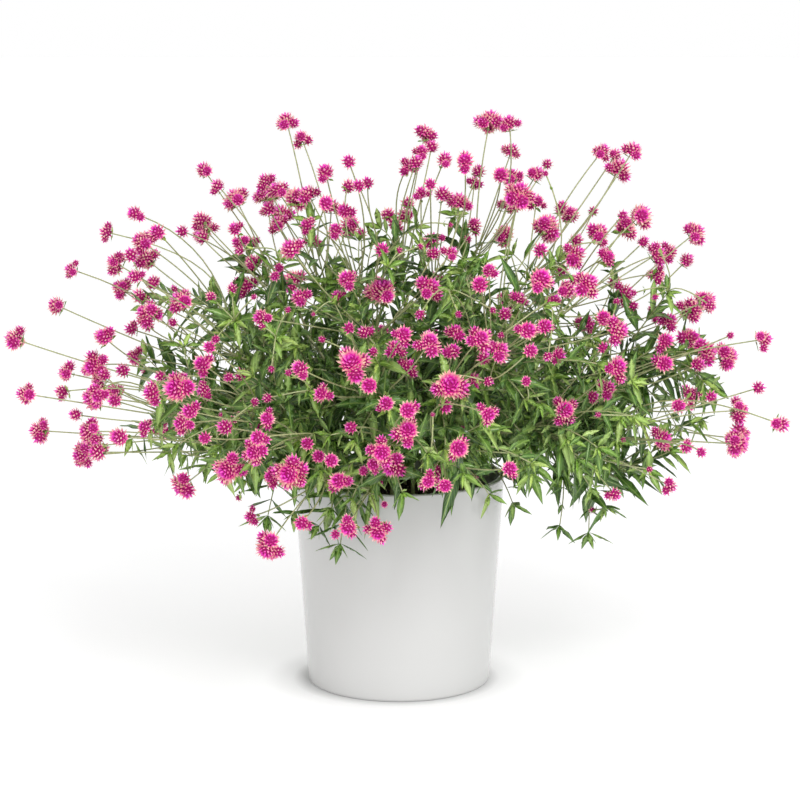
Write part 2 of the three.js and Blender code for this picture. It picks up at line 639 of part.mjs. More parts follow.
// A closed skin that grows: rings of points are joined to each other, and a limb takes the place of a face
class Skin {
  points = [];
  faces = [];

  ring(points) {
    this.points.push(...points);
    return points.map((_, i) => this.points.length - points.length + i);
  }

  // Joins rings that run the same way round: alike, the next twice as long, or a single point. Between rings
  // that are alike each side is folded outward.
  join(from, to) {
    const first = this.faces.length;
    const next = (ring, j) => ring[j % ring.length];
    from.forEach((corner, j) => {
      const beside = next(from, j + 1);
      if (to.length === 1) this.faces.push([corner, beside, to[0]]);
      else if (to.length === from.length) {
        const [near, far] = [to[j], next(to, j + 1)];
        const folded = this.above([corner, beside, far], near);
        this.faces.push(...(folded ? [[corner, beside, near], [beside, far, near]]
          : [[corner, beside, far], [corner, far, near]]));
      } else {
        const [near, middle, far] = [to[2 * j], to[2 * j + 1], next(to, 2 * j + 2)];
        this.faces.push([corner, middle, near], [corner, beside, middle], [beside, far, middle]);
      }
    });
    return first;
  }

  // Takes a face out and returns its corners, in the order that lies nearest to a ring that is to join it
  open(face, ring) {
    const corners = this.faces[face];
    this.faces[face] = null;
    if (!ring) return corners;
    const turned = corners.map((_, i) => corners.map((_, j) => corners[(i + j) % corners.length]));
    const apart = (corner, j) => this.points[corner].distanceTo(ring[j]);
    const twist = (order) => order.reduce((sum, corner, j) => sum + apart(corner, j), 0);
    return turned.reduce((one, other) => (twist(other) < twist(one) ? other : one));
  }

  // Which way the first corner of an even ring lies when its corners best match those of a three-cornered one
  side(ring) {
    const corners = ring.map((corner) => this.points[corner]);
    const middle = mean(corners);
    const normal = this.normal(ring);
    const third = (2 * Math.PI) / 3;
    const turnedBack = (p, j) => p.clone().sub(middle).applyAxisAngle(normal, -third * j);
    return mean(corners.map(turnedBack));
  }

  normal(corners) {
    const [a, b, c] = corners.map((corner) => this.points[corner]);
    return b.clone().sub(a).cross(c.clone().sub(a)).normalize();
  }

  above(corners, point) {
    return this.points[point].clone().sub(this.points[corners[0]]).dot(this.normal(corners)) > 0;
  }

  // A three-sided tube along a line, from a ring that stands at its first point, or from a flat end with one
  // side's middle turned a given way. It returns the first face of each span, and its last ring.
  tube(line, from, to, start, facing) {
    let way = start ? this.normal(start) : line[1].clone().sub(line[0]).normalize();
    let a = start ? this.side(start) : facing.clone().negate();
    let last = start;
    const spans = [];
    line.forEach((p, i) => {
      if (start && i === 0) return;
      const [before, after] = [line[Math.max(0, i - 1)], line[Math.min(line.length - 1, i + 1)]];
      const onward = after.clone().sub(before).normalize();
      const [side, square] = sideways(onward, carried(a, way, onward));
      [way, a] = [onward, side];
      const radius = from + ((to - from) * i) / (line.length - 1);
      const ring = this.ring(ringAt(p, side, square, [radius, radius, radius]));
      if (last) spans.push(this.join(last, ring));
      else this.faces.push([...ring].reverse());
      last = ring;
    });
    return { spans, end: last };
  }

  // The side of a span, among those still closed, that faces most one way
  bestSide(span, towards) {
    const sides = [span, span + 2, span + 4].filter((face) => this.faces[face]);
    const facing = (face) => this.normal(this.faces[face]).dot(towards);
    return sides.reduce((one, other) => (facing(other) > facing(one) ? other : one));
  }

  grow(start, rings) {
    let last = start;
    for (const points of rings) {
      const ring = this.ring(points);
      this.join(last, ring);
      last = ring;
    }
  }

  solid() {
    const corners = this.faces.filter(Boolean).flat();
    return toSolid(new Float32Array(this.points.flatMap((p) => p.toArray())), new Uint32Array(corners));
  }
}

function ringAt(centre, a, b, radii) {
  return radii.map((r, i) => {
    const angle = (2 * Math.PI * i) / radii.length;
    return centre.clone().addScaledVector(a, r * Math.cos(angle)).addScaledVector(b, r * Math.sin(angle));
  });
}

function lathe(profile, sides) {
  const geometry = new THREE.LatheGeometry(profile.map(([r, z]) => new THREE.Vector2(r, z)), sides);
  geometry.rotateX(Math.PI / 2);
  geometry.deleteAttribute("normal");
  geometry.deleteAttribute("uv");
  const merged = mergeVertices(geometry, 1e-3);
  return toSolid(merged.attributes.position.array, new Uint32Array(merged.index.array));
}

function pot() {
  const inner = (z) => potRadius(z) - POT_WALL;
  const lipFoot = POT_HEIGHT - LIP_ROUNDING;
  return lathe([
    [0, 0],
    [FOOT_RADIUS - FOOT_ROUNDING, 0],
    [potRadius(FOOT_ROUNDING), FOOT_ROUNDING],
    [potRadius(lipFoot), lipFoot],
    [RIM_RADIUS - LIP_ROUNDING, POT_HEIGHT],
    [inner(POT_HEIGHT) + LIP_ROUNDING, POT_HEIGHT],
    [inner(lipFoot), lipFoot],
    [inner(POT_FLOOR), POT_FLOOR],
    [0, POT_FLOOR],
  ], POT_SIDES);
}

// The mix keeps clear of the flats of the pot's wall, and has a plain hole for each stem
function pottingMix() {
  const radius = (z) => (potRadius(z) - POT_WALL) * Math.cos(Math.PI / POT_SIDES) - SEAT_GAP;
  const bottom = POT_FLOOR + SEAT_GAP;
  let solid = lathe([
    [0, bottom],
    [radius(bottom), bottom],
    [radius(MIX_EDGE), MIX_EDGE],
    [0, MIX_TOP],
  ], MIX_SIDES);
  for (const { collar, aside } of stems) {
    const foot = vec(collar.x, collar.y, MIX_EDGE - HOLE_DEPTH);
    const mouth = foot.clone().setZ(COLLAR_HEIGHT);
    const hole = new Skin();
    const { end } = hole.tube([foot, mouth], HOLE_RADIUS, HOLE_RADIUS, null, aside);
    hole.faces.push(end);
    solid = solid.subtract(hole.solid());
  }
  return solid;
}

// A blade with a flat top and a keel below: the rings between its root and its tip, and its tip
function leafRings({ out, line, width }) {
  const face = UP.clone().addScaledVector(out, -UP.dot(out)).normalize();
  const side = face.clone().cross(out);
  const rings = line.slice(1, -1).map((p, i) => {
    const half = (width / 2) * (i ? 0.72 : 1);
    const keel = p.clone().addScaledVector(face, -LEAF_THICKNESS);
    return [p.clone().addScaledVector(side, -half), keel, p.clone().addScaledVector(side, half)];
  });
  return [...rings, [line.at(-1)]];
}

// A tube has a short span at each pair of leaves, which grow from its sides
function leafyTube(skin, curve, nodes, lead, tail, from, to, start, facing) {
  const shares = [...nodes.flatMap(({ share, margin }) => [share - margin, share + margin]), ...tail];
  const line = [...lead, ...shares.map((share) => curve.getPoint(share))];
  const { spans, end } = skin.tube(line, from, to, start, facing);
  nodes.forEach(({ leaves, shoot }, n) => {
    const span = spans[lead.length + 2 * n];
    for (const leaf of leaves) {
      const rings = leafRings(leaf);
      skin.grow(skin.open(skin.bestSide(span, leaf.out), rings[0]), rings);
    }
    if (shoot) {
      const side = skin.open(skin.bestSide(span, shoot.facing));
      const tip = leafyTube(skin, shoot.curve, shoot.pairs, [shoot.parting, shoot.from], [1], SHOOT_RADIUS,
        SHOOT_RADIUS * 0.7, side);
      skin.faces.push(tip.end);
    }
  });
  return { end, lastSpan: spans.at(-1) };
}

// The first branch goes on from the trunk's end, and the second grows from a side of the trunk just below it
function leafyStem(stem) {
  const { collar, fork, trunk, branches, shoots, pairs, aside } = stem;
  const skin = new Skin();
  shoots.forEach((shoot, i) => Object.assign(shoot, { pairs: pairs[1 + branches.length + i] }));
  const root = vec(collar.x, collar.y, MIX_EDGE - HOLE_DEPTH + 2);
  const tail = [1 - FORK_SPAN / trunk.getLength(), 1];
  const lead = [root, collar];
  const nodes = trunkNodes(stem);
  const whole = leafyTube(skin, trunk, nodes, lead, tail, STEM_RADIUS, BRANCH_RADIUS, null, aside);
  branches.forEach((branch, i) => {
    const from = branch.getPoint(0);
    const parting = from.clone().addScaledVector(aside, -FORK_OUT);
    const start = i ? skin.open(skin.bestSide(whole.lastSpan, aside)) : whole.end;
    const tip = leafyTube(skin, branch, pairs[i + 1], i ? [parting, from] : [fork], [1], BRANCH_RADIUS,
      BRANCH_RADIUS * 0.85, start);
    skin.faces.push(tip.end);
  });
  return skin.solid();
}

// Bracts stand out as points round a smaller core, in one ring or, on a large bloom, in two
function bloomRings({ at, along, radius }, stalkSide) {
  const [a, b] = sideways(along, stalkSide);
  const level = (share) => at.clone().addScaledVector(along, share * radius);
  const star = (share, odd) =>
    ringAt(level(share), a, b, [0, 1, 2, 3, 4, 5].map((i) => radius * (i % 2 === odd ? 0.7 : 1.1)));
  if (2 * radius < BUD) return [ringAt(level(0), a, b, [radius, radius, radius]), [level(1)]];
  if (2 * radius < LARGE_BLOOM) return [star(0, 1), [level(1)]];
  return [star(-0.4, 1), star(0.4, 0), [level(1)]];
}

function flowerSpray({ start, foot, top, levels, blooms, flat }) {
  const skin = new Skin();
  const rise = Array.from({ length: levels }, (_, level) => foot.clone().lerp(top, (level + 1) / levels));
  const { spans, end } = skin.tube([start, foot, ...rise], AXIS_RADIUS, AXIS_RADIUS * 0.8, null, flat);
  for (const bloom of blooms) {
    const { site, stalk } = bloom;
    const base = "side" in site ? skin.open(spans[1 + site.level] + 2 * site.side) : end;
    const neck = skin.tube(stalk, STALK_RADIUS, STALK_RADIUS * 0.9, base).end;
    skin.grow(neck, bloomRings(bloom, skin.side(neck)));
  }
  return skin.solid();
}

// The part
const glaze = new THREE.MeshStandardMaterial({ color: 0xe9e9e6, roughness: 0.22, metalness: 0 });
const earth = new THREE.MeshStandardMaterial({ color: 0x2e241c, roughness: 0.95, metalness: 0 });
const leafGreen = new THREE.MeshStandardMaterial({ color: 0x4f7d2e, roughness: 0.55, metalness: 0 });
const bloomPink = new THREE.MeshStandardMaterial({ color: 0xd1288f, roughness: 0.6, metalness: 0 });
const part = new THREE.Group();

function addMesh(name, solid, material) {
  const { vertProperties, triVerts } = solid.getMesh();
  const geometry = new THREE.BufferGeometry();
  geometry.setAttribute("position", new THREE.BufferAttribute(vertProperties, 3));
  geometry.setIndex(new THREE.BufferAttribute(triVerts, 1));
  geometry.computeVertexNormals();
  const mesh = new THREE.Mesh(geometry, material);
  mesh.name = name;
  part.add(mesh);
}

addMesh("pot", pot(), glaze);
addMesh("potting_mix", pottingMix(), earth);
for (const stem of stems) {
  addMesh("leafy_stem_" + stem.name, leafyStem(stem), leafGreen);
  for (const spray of stem.sprays) addMesh(spray.node, flowerSpray(spray), bloomPink);
}

export default part;
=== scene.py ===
"""Globe amaranth in a tapered white pot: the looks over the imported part.

The plant is grown in millimetres by the rules and seeded draws that shape the solids, so each finer piece
stands where its solid stands. Then leaves, bracts, stalks and buds are made as meshes, in metres.
"""

import math

import bpy
import numpy as np
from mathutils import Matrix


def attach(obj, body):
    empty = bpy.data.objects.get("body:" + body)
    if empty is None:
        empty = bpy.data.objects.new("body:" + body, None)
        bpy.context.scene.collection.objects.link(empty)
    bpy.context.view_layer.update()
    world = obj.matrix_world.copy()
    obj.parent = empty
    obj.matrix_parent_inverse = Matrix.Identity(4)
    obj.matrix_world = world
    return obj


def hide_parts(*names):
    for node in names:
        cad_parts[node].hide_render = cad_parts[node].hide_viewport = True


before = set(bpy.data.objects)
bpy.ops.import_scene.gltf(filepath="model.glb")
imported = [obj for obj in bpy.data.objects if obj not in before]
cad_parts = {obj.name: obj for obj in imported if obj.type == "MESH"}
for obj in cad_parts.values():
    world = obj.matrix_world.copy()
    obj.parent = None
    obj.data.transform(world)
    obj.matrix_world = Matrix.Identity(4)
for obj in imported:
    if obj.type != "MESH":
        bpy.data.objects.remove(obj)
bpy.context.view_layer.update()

# Pot and potting mix, in millimetres as all sizes here
POT_HEIGHT = 250
RIM_RADIUS = 125
FOOT_RADIUS = 108
POT_WALL = 7
POT_FLOOR = 9
FOOT_ROUNDING = 4
LIP_ROUNDING = 2
MIX_EDGE = 226
MIX_TOP = 234
HOLE_DEPTH = 40
SEAT_GAP = 0.3

# Stems
CROWN_HEIGHT = 274
COLLAR_HEIGHT = MIX_TOP + 4
ROOT_OUT = 92
ROOT_IN = 14
ROOT_DRAWN_IN = 62
FORK_SHARE = 0.42
TIP_SHARE = 0.62
FORK_OVER_RIM = 30
TIP_OVER_RIM = 22
STEM_RADIUS = 2.5
BRANCH_RADIUS = 1.8
AXIS_RADIUS = 1.5
AXIS_FOOT = 8
STALK_RADIUS = 0.95
FORK_SPAN = 7
FORK_OUT = 6.4
STALK_OUT = 3.9
SHARPEST = 0.1
LONG_STALK = 160
ROOT_LENGTH = 9

# Leaves
LEAF_LENGTH = 58
LEAF_WIDTH = 13
LEAF_SPACING = 24
LEAF_NODE = 4
SMALL_LEAF = 54

# Flower sprays
LEVEL_HEIGHT = 5
DEPTH_SPREAD = 24

# How clear of the rest each limb is bent, and how often it is tried
CLEAR = 0.6
STEM_TRIES = 60
AXIS_TRIES = 30
BRANCH_TRIES = 60
BLOOM_TRIES = 160
LEAF_TRIES = 14

# Blooms are placed as they look from the front, to an eye this far from the pot's axis and this high
EYE_DISTANCE = 3137
EYE_HEIGHT = 905

# Leafy shoots that fill the plant between the stems: domes around its middle, each with how far out it lies
# and how many shoots end on it
FOLIAGE_MIDDLE = (12, -4, 335)
FOLIAGE_REACH = (330, 285, 218)
FOLIAGE_DROP = 118
FOLIAGE_DOMES = [(1.0, 140), (0.84, 130), (0.64, 90), (0.42, 50)]
# How low the domes reach, behind and in front
LOWEST = -0.8
LOWEST_IN_FRONT = -0.57
# Higher on a dome than this, this share of the shoots is left out, so that light comes through
THIN_ABOVE = 0.3
THINNED = 0.42

# Sprigs that hang over the rim: how far across, how high and how deep each ends
HANGING = [
    (-66, 202, -160), (-90, 222, -156), (-116, 236, -146), (-76, 244, -162), (186, 206, -84),
    (222, 190, -52), (238, 226, -70), (-150, 224, -112), (132, 228, -62),
]
# Sprigs that fill out the plant's right side
SIDEWARD = [
    (334, 400, -30), (350, 372, -60), (354, 352, 20), (338, 320, -50), (312, 292, -80),
    (330, 302, 30), (285, 276, -110),
]
SPRIG_LENGTH = 95
SPRIG_RADIUS = 1.1
SPRIG_SPACING = 18
SPRIG_BARE = 0.16
SPRIG_OVER_RIM = 28
GOLDEN_ANGLE = math.pi * (3 - math.sqrt(5))

# The stems in view and the sprays on their tips: for each spray how far behind the upright plane through
# the pot's axis it stands, and its blooms, each as [across, height, diameter] where it looks to stand on it
SEEN_STEMS = {
    "far_left": [
        (-30, [
            [-450, 410, 24], [-390, 370, 21], [-360, 380, 26], [-345, 370, 17], [-345, 415, 21],
            [-325, 375, 15],
        ]),
        (-100, [
            [-440, 345, 21], [-390, 345, 19], [-360, 340, 24], [-350, 345, 20], [-335, 335, 14],
            [-380, 320, 17],
        ]),
    ],
    "low_left": [
        (-150, [
            [-365, 300, 24], [-355, 275, 22], [-335, 290, 22], [-300, 305, 17], [-275, 300, 18],
            [-255, 235, 26],
        ]),
        (-235, [
            [-260, 350, 30], [-290, 345, 22], [-230, 380, 22], [-225, 400, 13], [-275, 365, 13],
            [-230, 350, 19], [-245, 320, 20], [-255, 310, 22], [-235, 300, 13],
        ]),
    ],
    "upper_left": [
        (45, [
            [-385, 495, 17], [-400, 450, 21], [-325, 470, 21], [-310, 420, 17], [-310, 390, 19],
            [-300, 370, 11],
        ]),
        (10, [
            [-335, 535, 18], [-305, 555, 18], [-330, 500, 22], [-315, 505, 15], [-300, 525, 22],
            [-285, 535, 20], [-295, 505, 24],
        ]),
    ],
    "left_shoulder": [
        (-80, [
            [-305, 485, 18], [-290, 475, 17], [-300, 460, 19], [-295, 440, 24], [-265, 470, 9],
            [-255, 455, 24], [-265, 430, 11], [-295, 425, 13],
        ]),
        (90, [
            [-255, 535, 13], [-230, 550, 20], [-230, 530, 15], [-210, 595, 17], [-190, 575, 24],
            [-195, 535, 17], [-185, 525, 19],
        ]),
    ],
    "top_left": [
        (70, [
            [-155, 595, 19], [-140, 580, 20], [-150, 560, 19], [-140, 545, 20], [-130, 665, 21],
            [-110, 640, 19], [-170, 500, 19],
        ]),
        (-20, [
            [-85, 605, 21], [-60, 620, 14], [-105, 580, 21], [-85, 580, 15], [-65, 590, 15],
            [-50, 585, 13], [-70, 560, 19], [-70, 540, 18], [-105, 545, 17], [-45, 535, 12],
        ]),
    ],
    "top": [
        (100, [
            [30, 650, 21], [20, 635, 17], [35, 640, 14], [20, 625, 15], [10, 615, 18], [-35, 595, 13],
            [-10, 555, 15], [5, 555, 19], [-5, 545, 18], [10, 570, 14],
        ]),
        (20, [
            [55, 615, 19], [75, 615, 20], [85, 600, 15], [50, 580, 20], [70, 570, 24], [85, 545, 18],
            [35, 600, 12], [30, 580, 17], [80, 530, 9], [50, 530, 8],
        ]),
    ],
    "top_right": [
        (120, [
            [105, 665, 25], [130, 660, 20], [130, 630, 19], [130, 600, 22], [110, 610, 15],
            [155, 605, 19], [170, 620, 12], [145, 605, 9],
        ]),
        (50, [
            [235, 630, 19], [250, 625, 17], [255, 610, 24], [270, 630, 20], [225, 565, 11],
            [200, 555, 21],
        ]),
    ],
    "right_shoulder": [
        (-50, [
            [140, 580, 28], [135, 565, 12], [170, 540, 28], [165, 515, 15], [205, 510, 24],
            [190, 495, 15], [210, 530, 15], [230, 535, 24],
        ]),
        (10, [
            [255, 560, 11], [260, 545, 25], [280, 555, 26], [285, 525, 13], [300, 510, 21],
            [315, 515, 21], [300, 490, 20], [335, 505, 19], [240, 505, 18],
        ]),
    ],
    "right": [
        (80, [
            [345, 535, 22], [345, 445, 22], [360, 455, 22], [300, 440, 18], [315, 430, 19],
            [275, 450, 11], [250, 475, 14],
        ]),
        (-20, [
            [430, 405, 21], [385, 390, 25], [360, 395, 26], [350, 380, 19], [390, 415, 9],
            [370, 350, 12], [310, 405, 21], [310, 385, 21],
        ]),
    ],
    "low_right": [
        (-80, [
            [445, 315, 20], [430, 350, 14], [400, 325, 24], [400, 285, 24], [340, 280, 17],
            [365, 280, 11], [330, 330, 15], [310, 290, 24],
        ]),
        (-180, [
            [255, 375, 26], [240, 400, 12], [245, 350, 21], [230, 340, 17], [195, 325, 26],
            [255, 225, 18], [320, 235, 18], [295, 255, 8],
        ]),
    ],
    "front_left": [
        (-270, [
            [-205, 305, 17], [-195, 340, 15], [-190, 360, 15], [-155, 315, 19], [-165, 305, 17],
            [-160, 290, 20], [-170, 275, 24], [-200, 255, 31],
        ]),
        (-255, [
            [-130, 250, 30], [-150, 245, 20], [-175, 195, 18], [-155, 160, 28], [-115, 190, 19],
            [-95, 270, 14], [-80, 265, 15], [-110, 285, 14],
        ]),
    ],
    "front": [
        (-275, [
            [-70, 240, 22], [-75, 230, 13], [-45, 250, 11], [-60, 185, 22], [-25, 180, 25],
            [-75, 175, 11], [-20, 210, 8],
        ]),
        (-330, [
            [-20, 275, 27], [-30, 260, 18], [-10, 260, 26], [10, 300, 28], [-10, 295, 13], [10, 325, 22],
            [-10, 330, 20], [-55, 310, 14],
        ]),
    ],
    "front_right": [
        (-315, [
            [85, 300, 19], [70, 280, 24], [55, 265, 22], [50, 255, 17], [35, 240, 20], [55, 235, 18],
            [105, 315, 21], [130, 255, 20],
        ]),
        (-285, [
            [60, 355, 31], [80, 360, 22], [70, 345, 24], [55, 330, 15], [65, 390, 21], [95, 410, 24],
            [115, 395, 24], [100, 385, 15], [70, 415, 21],
        ]),
    ],
    "middle": [
        (-290, [
            [-55, 380, 33], [-35, 355, 17], [-115, 375, 21], [-90, 345, 20], [-40, 420, 18],
            [-55, 420, 13], [5, 415, 21], [-5, 400, 21], [5, 380, 21], [35, 405, 26],
        ]),
        (-170, [
            [-20, 465, 32], [35, 470, 26], [-60, 480, 22], [-70, 460, 17], [-115, 460, 20],
            [-160, 435, 20], [-125, 515, 24], [-20, 515, 15], [40, 510, 17], [60, 510, 19],
        ]),
    ],
    "middle_right": [
        (-220, [
            [150, 420, 22], [170, 425, 20], [140, 435, 15], [155, 400, 18], [185, 390, 18],
            [140, 460, 18], [180, 450, 18], [195, 465, 21], [220, 475, 26], [165, 480, 26],
            [105, 490, 18], [95, 475, 17], [255, 420, 26],
        ]),
    ],
}

# Small buds between the blooms, each as [across, height, diameter] like the blooms
BUDS = [
    (-285, 440, 17), (-185, 515, 11), (-220, 460, 13), (-195, 470, 13), (-170, 460, 8), (-145, 485, 12),
    (-140, 495, 12), (0, 515, 9), (60, 545, 7), (25, 520, 8), (170, 605, 9), (110, 445, 9),
    (240, 525, 9), (300, 520, 12), (205, 480, 14), (365, 450, 14), (240, 435, 18), (255, 455, 9),
    (275, 465, 9), (300, 460, 9), (355, 345, 7), (230, 205, 9), (265, 290, 7), (175, 390, 12),
    (235, 320, 8), (120, 415, 9), (150, 360, 12), (105, 360, 12), (-30, 395, 11), (-90, 410, 9),
    (90, 245, 8), (40, 320, 6), (-150, 375, 9), (-130, 370, 9), (-200, 365, 12), (-215, 410, 11),
    (-170, 335, 11), (-155, 340, 12), (-255, 365, 13), (-195, 315, 11), (-210, 320, 6), (-190, 220, 9),
    (-60, 250, 11), (-20, 240, 7), (25, 440, 12), (-160, 425, 9), (-130, 445, 8), (-100, 440, 6),
    (70, 440, 9),
]

# The stems behind are out of view from the front, and their sprays stand on the same dome by rule
BACK_STEMS = 4
BACK_BLOOMS = 6
BACK_SPREAD = 0.42
DOME_ACROSS = 385
DOME_DEEP = 345
DOME_HIGH = 330
DOME_BASE = 262

# Leafy shoots on the trunks behind: where on the trunk each parts from it, how far round from the
# trunk's own way it leans, and how high it ends
SHOOTS = [(0.36, -0.42, 245), (0.56, 0.34, 335), (0.76, -0.3, 385)]
SHOOT_ACROSS = 280
SHOOT_DEEP = 265
SHOOT_TRIES = 60
SHOOT_RADIUS = 1.5
SHOOT_LEAF_SPACING = 35

UP = np.array([0.0, 0.0, 1.0])
CROWN = np.array([0.0, 0.0, CROWN_HEIGHT])


def vec(x, y, z):
    """A point or direction, in millimetres."""
    return np.array([x, y, z], dtype=float)


def length_of(v):
    return math.sqrt(v[0] * v[0] + v[1] * v[1] + v[2] * v[2])


def unit(v):
    return v / (length_of(v) or 1)


def cross(a, b):
    return vec(a[1] * b[2] - a[2] * b[1], a[2] * b[0] - a[0] * b[2], a[0] * b[1] - a[1] * b[0])


def dot(a, b):
    return a[0] * b[0] + a[1] * b[1] + a[2] * b[2]


def lerp(a, b, share):
    return a + (b - a) * share


def pot_radius(z):
    return FOOT_RADIUS + (RIM_RADIUS - FOOT_RADIUS) * z / POT_HEIGHT


def chance(*keys):
    """A repeatable draw between 0 and 1 from whole-number keys."""
    modulus = 67108859
    mixed = 90001
    for key in (*keys, 5, 11):
        mixed = (mixed * mixed + key * 7919 + 104729) % modulus
    return mixed / modulus


def between(low, high, *keys):
    return low + (high - low) * chance(*keys)


def jolt(*keys):
    return vec(*(between(-1, 1, *keys, key) for key in (1, 2, 3)))


def sideways(along, last=None):
    """Two directions square to a given one, the first as near as can be to a direction asked for."""
    if last is None:
        last = vec(1, 0, 0) if abs(along[2]) > 0.9 else UP
    a = unit(last - along * dot(last, along))
    return a, cross(along, a)


def spoke(a, b, turn):
    """The way between two square directions at an angle from the first."""
    return a * math.cos(turn) + b * math.sin(turn)


def carried(direction, start, end):
    """A direction turned as little as takes one way to another."""
    axis = cross(start, end)
    turned = direction * dot(start, end) + cross(axis, direction)
    return turned + axis * dot(axis, direction) / (1 + dot(start, end))


class Curve:
    """A Bezier curve through its first and last point."""

    def __init__(self, *points):
        self.points = points

    def at(self, t):
        points = self.points
        while len(points) > 1:
            points = [lerp(p, q, t) for p, q in zip(points, points[1:])]
        return points[0]

    def tangent(self, t):
        step = 0.0001
        return unit(self.at(min(1, t + step)) - self.at(max(0, t - step)))

    def line(self, count):
        return [self.at(i / count) for i in range(count + 1)]

    def length(self):
        points = self.line(200)
        return sum(length_of(q - p) for p, q in zip(points, points[1:]))


def seen_at(across, height, depth):
    """Where a bloom stands that is seen at a place on the upright plane, at a depth behind that plane."""
    share = 1 + depth / EYE_DISTANCE
    return vec(across * share, depth, EYE_HEIGHT + (height - EYE_HEIGHT) * share)


class Placed:
    """Everything placed so far, as round-ended rods, so that what comes later is bent clear of it."""

    def __init__(self):
        self.most = 20000
        self.count = 0
        self.ends = np.zeros((self.most, 2, 3))
        self.middles = np.zeros((self.most, 3))
        self.halves = np.zeros(self.most)
        self.radii = np.zeros(self.most)
        self.nodes = np.zeros(self.most, dtype=int)
        self.names = {}

    def number(self, node):
        return self.names.setdefault(node, len(self.names))

    def add(self, p, q, r, node):
        i = self.count
        self.ends[i] = (p, q)
        self.middles[i] = (p + q) / 2
        self.halves[i] = length_of(q - p) / 2
        self.radii[i] = r
        self.nodes[i] = self.number(node)
        self.count += 1

    def clearance(self, rods, node):
        """How far rods stand clear of the rest. A rod that isn't free may touch its own node."""
        n = self.count
        p = np.array([rod[0] for rod in rods])
        q = np.array([rod[1] for rod in rods])
        r = np.array([rod[2] for rod in rods])
        free = np.array([rod[3] for rod in rods])
        halves = np.sqrt(((q - p) ** 2).sum(1)) / 2
        apart = self.middles[None, :n] - ((p + q) / 2)[:, None]
        reach = halves[:, None] + self.halves[:n] + r[:, None] + self.radii[:n] + CLEAR + 0.01
        near = (apart * apart).sum(2) < reach * reach
        near &= free[:, None] | (self.nodes[:n] != self.number(node))[None]
        i, j = np.nonzero(near)
        least = math.inf
        if len(i):
            gaps = rod_distance(p[i], q[i], self.ends[j, 0], self.ends[j, 1]) - r[i] - self.radii[j]
            least = gaps.min()
        return min(least, *(pot_clearance(a, b, c) for a, b, c in zip(p, q, r)))


def rod_distance(p, q, a, b):
    """Shortest distance between the middle lines of pairs of rods."""
    along = q - p
    other = b - a
    apart = p - a
    along_along = (along * along).sum(1)
    other_other = (other * other).sum(1)
    along_other = (along * other).sum(1)
    along_apart = (along * apart).sum(1)
    other_apart = (other * apart).sum(1)
    span = along_along * other_other - along_other * along_other
    tiny = 1e-9

    def share(top, bottom):
        safe = np.where(bottom > tiny, bottom, 1)
        return np.where(bottom > tiny, np.clip(top / safe, 0, 1), 0)

    s = share(along_other * other_apart - along_apart * other_other, span)
    t = share(along_other * s + other_apart, other_other)
    s = share(along_other * t - along_apart, along_along)
    gap = p + along * s[:, None] - a - other * t[:, None]
    return np.sqrt((gap * gap).sum(1))


def pot_clearance(p, q, radius):
    """How far a rod stands clear of the pot's wall and of the mix."""
    ball_step = 8
    steps = max(1, math.ceil(length_of(q - p) / ball_step))
    balls = p + (q - p) * (np.arange(steps + 1) / steps)[:, None]
    out = np.hypot(balls[:, 0], balls[:, 1])
    wall = pot_radius(np.minimum(balls[:, 2], POT_HEIGHT))
    over_rim = balls[:, 2] - radius - POT_HEIGHT
    inside = wall - POT_WALL - out - radius
    over_mix = balls[:, 2] - radius - MIX_TOP
    clear = np.maximum(np.maximum(over_rim, out - radius - wall), np.minimum(inside, over_mix))
    return clear.min()


placed = Placed()


def settle(node, tries, draw, optional=False):
    """The first try that stands clear and has no sharp bend, or else the clearest one."""
    best = None
    best_gap = -math.inf
    for k in range(tries):
        made = draw(k)
        gap = min(placed.clearance(made["rods"], node), made.get("ease", math.inf))
        if best is None or gap > best_gap:
            best = made
            best_gap = gap
        if gap > CLEAR:
            break
    if best_gap <= CLEAR and optional:
        return None
    for p, q, r, _ in best["rods"]:
        placed.add(p, q, r, node)
    return best


def rods_along(points, r):
    return [(p, q, r, True) for p, q in zip(points, points[1:])]


def limb_rods(points, r):
    """Rods along a limb, the first of them split off as its root."""
    start, following = points[0], points[1]
    split = lerp(start, following, min(0.9, ROOT_LENGTH / length_of(following - start)))
    return [(start, split, r, False), *rods_along([split, *points[1:]], r)]


def seen_bloom(across, height, diameter, depth):
    return {
        "at": seen_at(across, height, depth),
        "radius": diameter / 2 * (1 + depth / EYE_DISTANCE),
        "place": lambda shift: seen_at(across, height, depth + shift),
    }


def seen_stems():
    """Plan of the plant: stems, each with its sprays, each with its blooms."""
    stems = []
    for key, (name, sprays) in enumerate(SEEN_STEMS.items()):
        plan = [{"blooms": [seen_bloom(*bloom, depth) for bloom in blooms]} for depth, blooms in sprays]
        stems.append({"name": name, "key": key, "sprays": plan, "behind": False})
    return stems


def back_bloom(around, climb, *keys):
    azimuth = around + between(-BACK_SPREAD, BACK_SPREAD, *keys, 2)
    height = climb + between(-BACK_SPREAD, BACK_SPREAD, *keys, 3) * 0.7
    reach = between(0.92, 1.12, *keys, 4)
    at = vec(
        DOME_ACROSS * reach * math.cos(azimuth) * math.cos(height),
        DOME_DEEP * reach * math.sin(azimuth) * math.cos(height),
        DOME_BASE + DOME_HIGH * reach * math.sin(height),
    )
    outward = unit(at - CROWN)
    return {"at": at, "radius": between(8, 13, *keys, 5), "place": lambda shift: at + outward * shift}


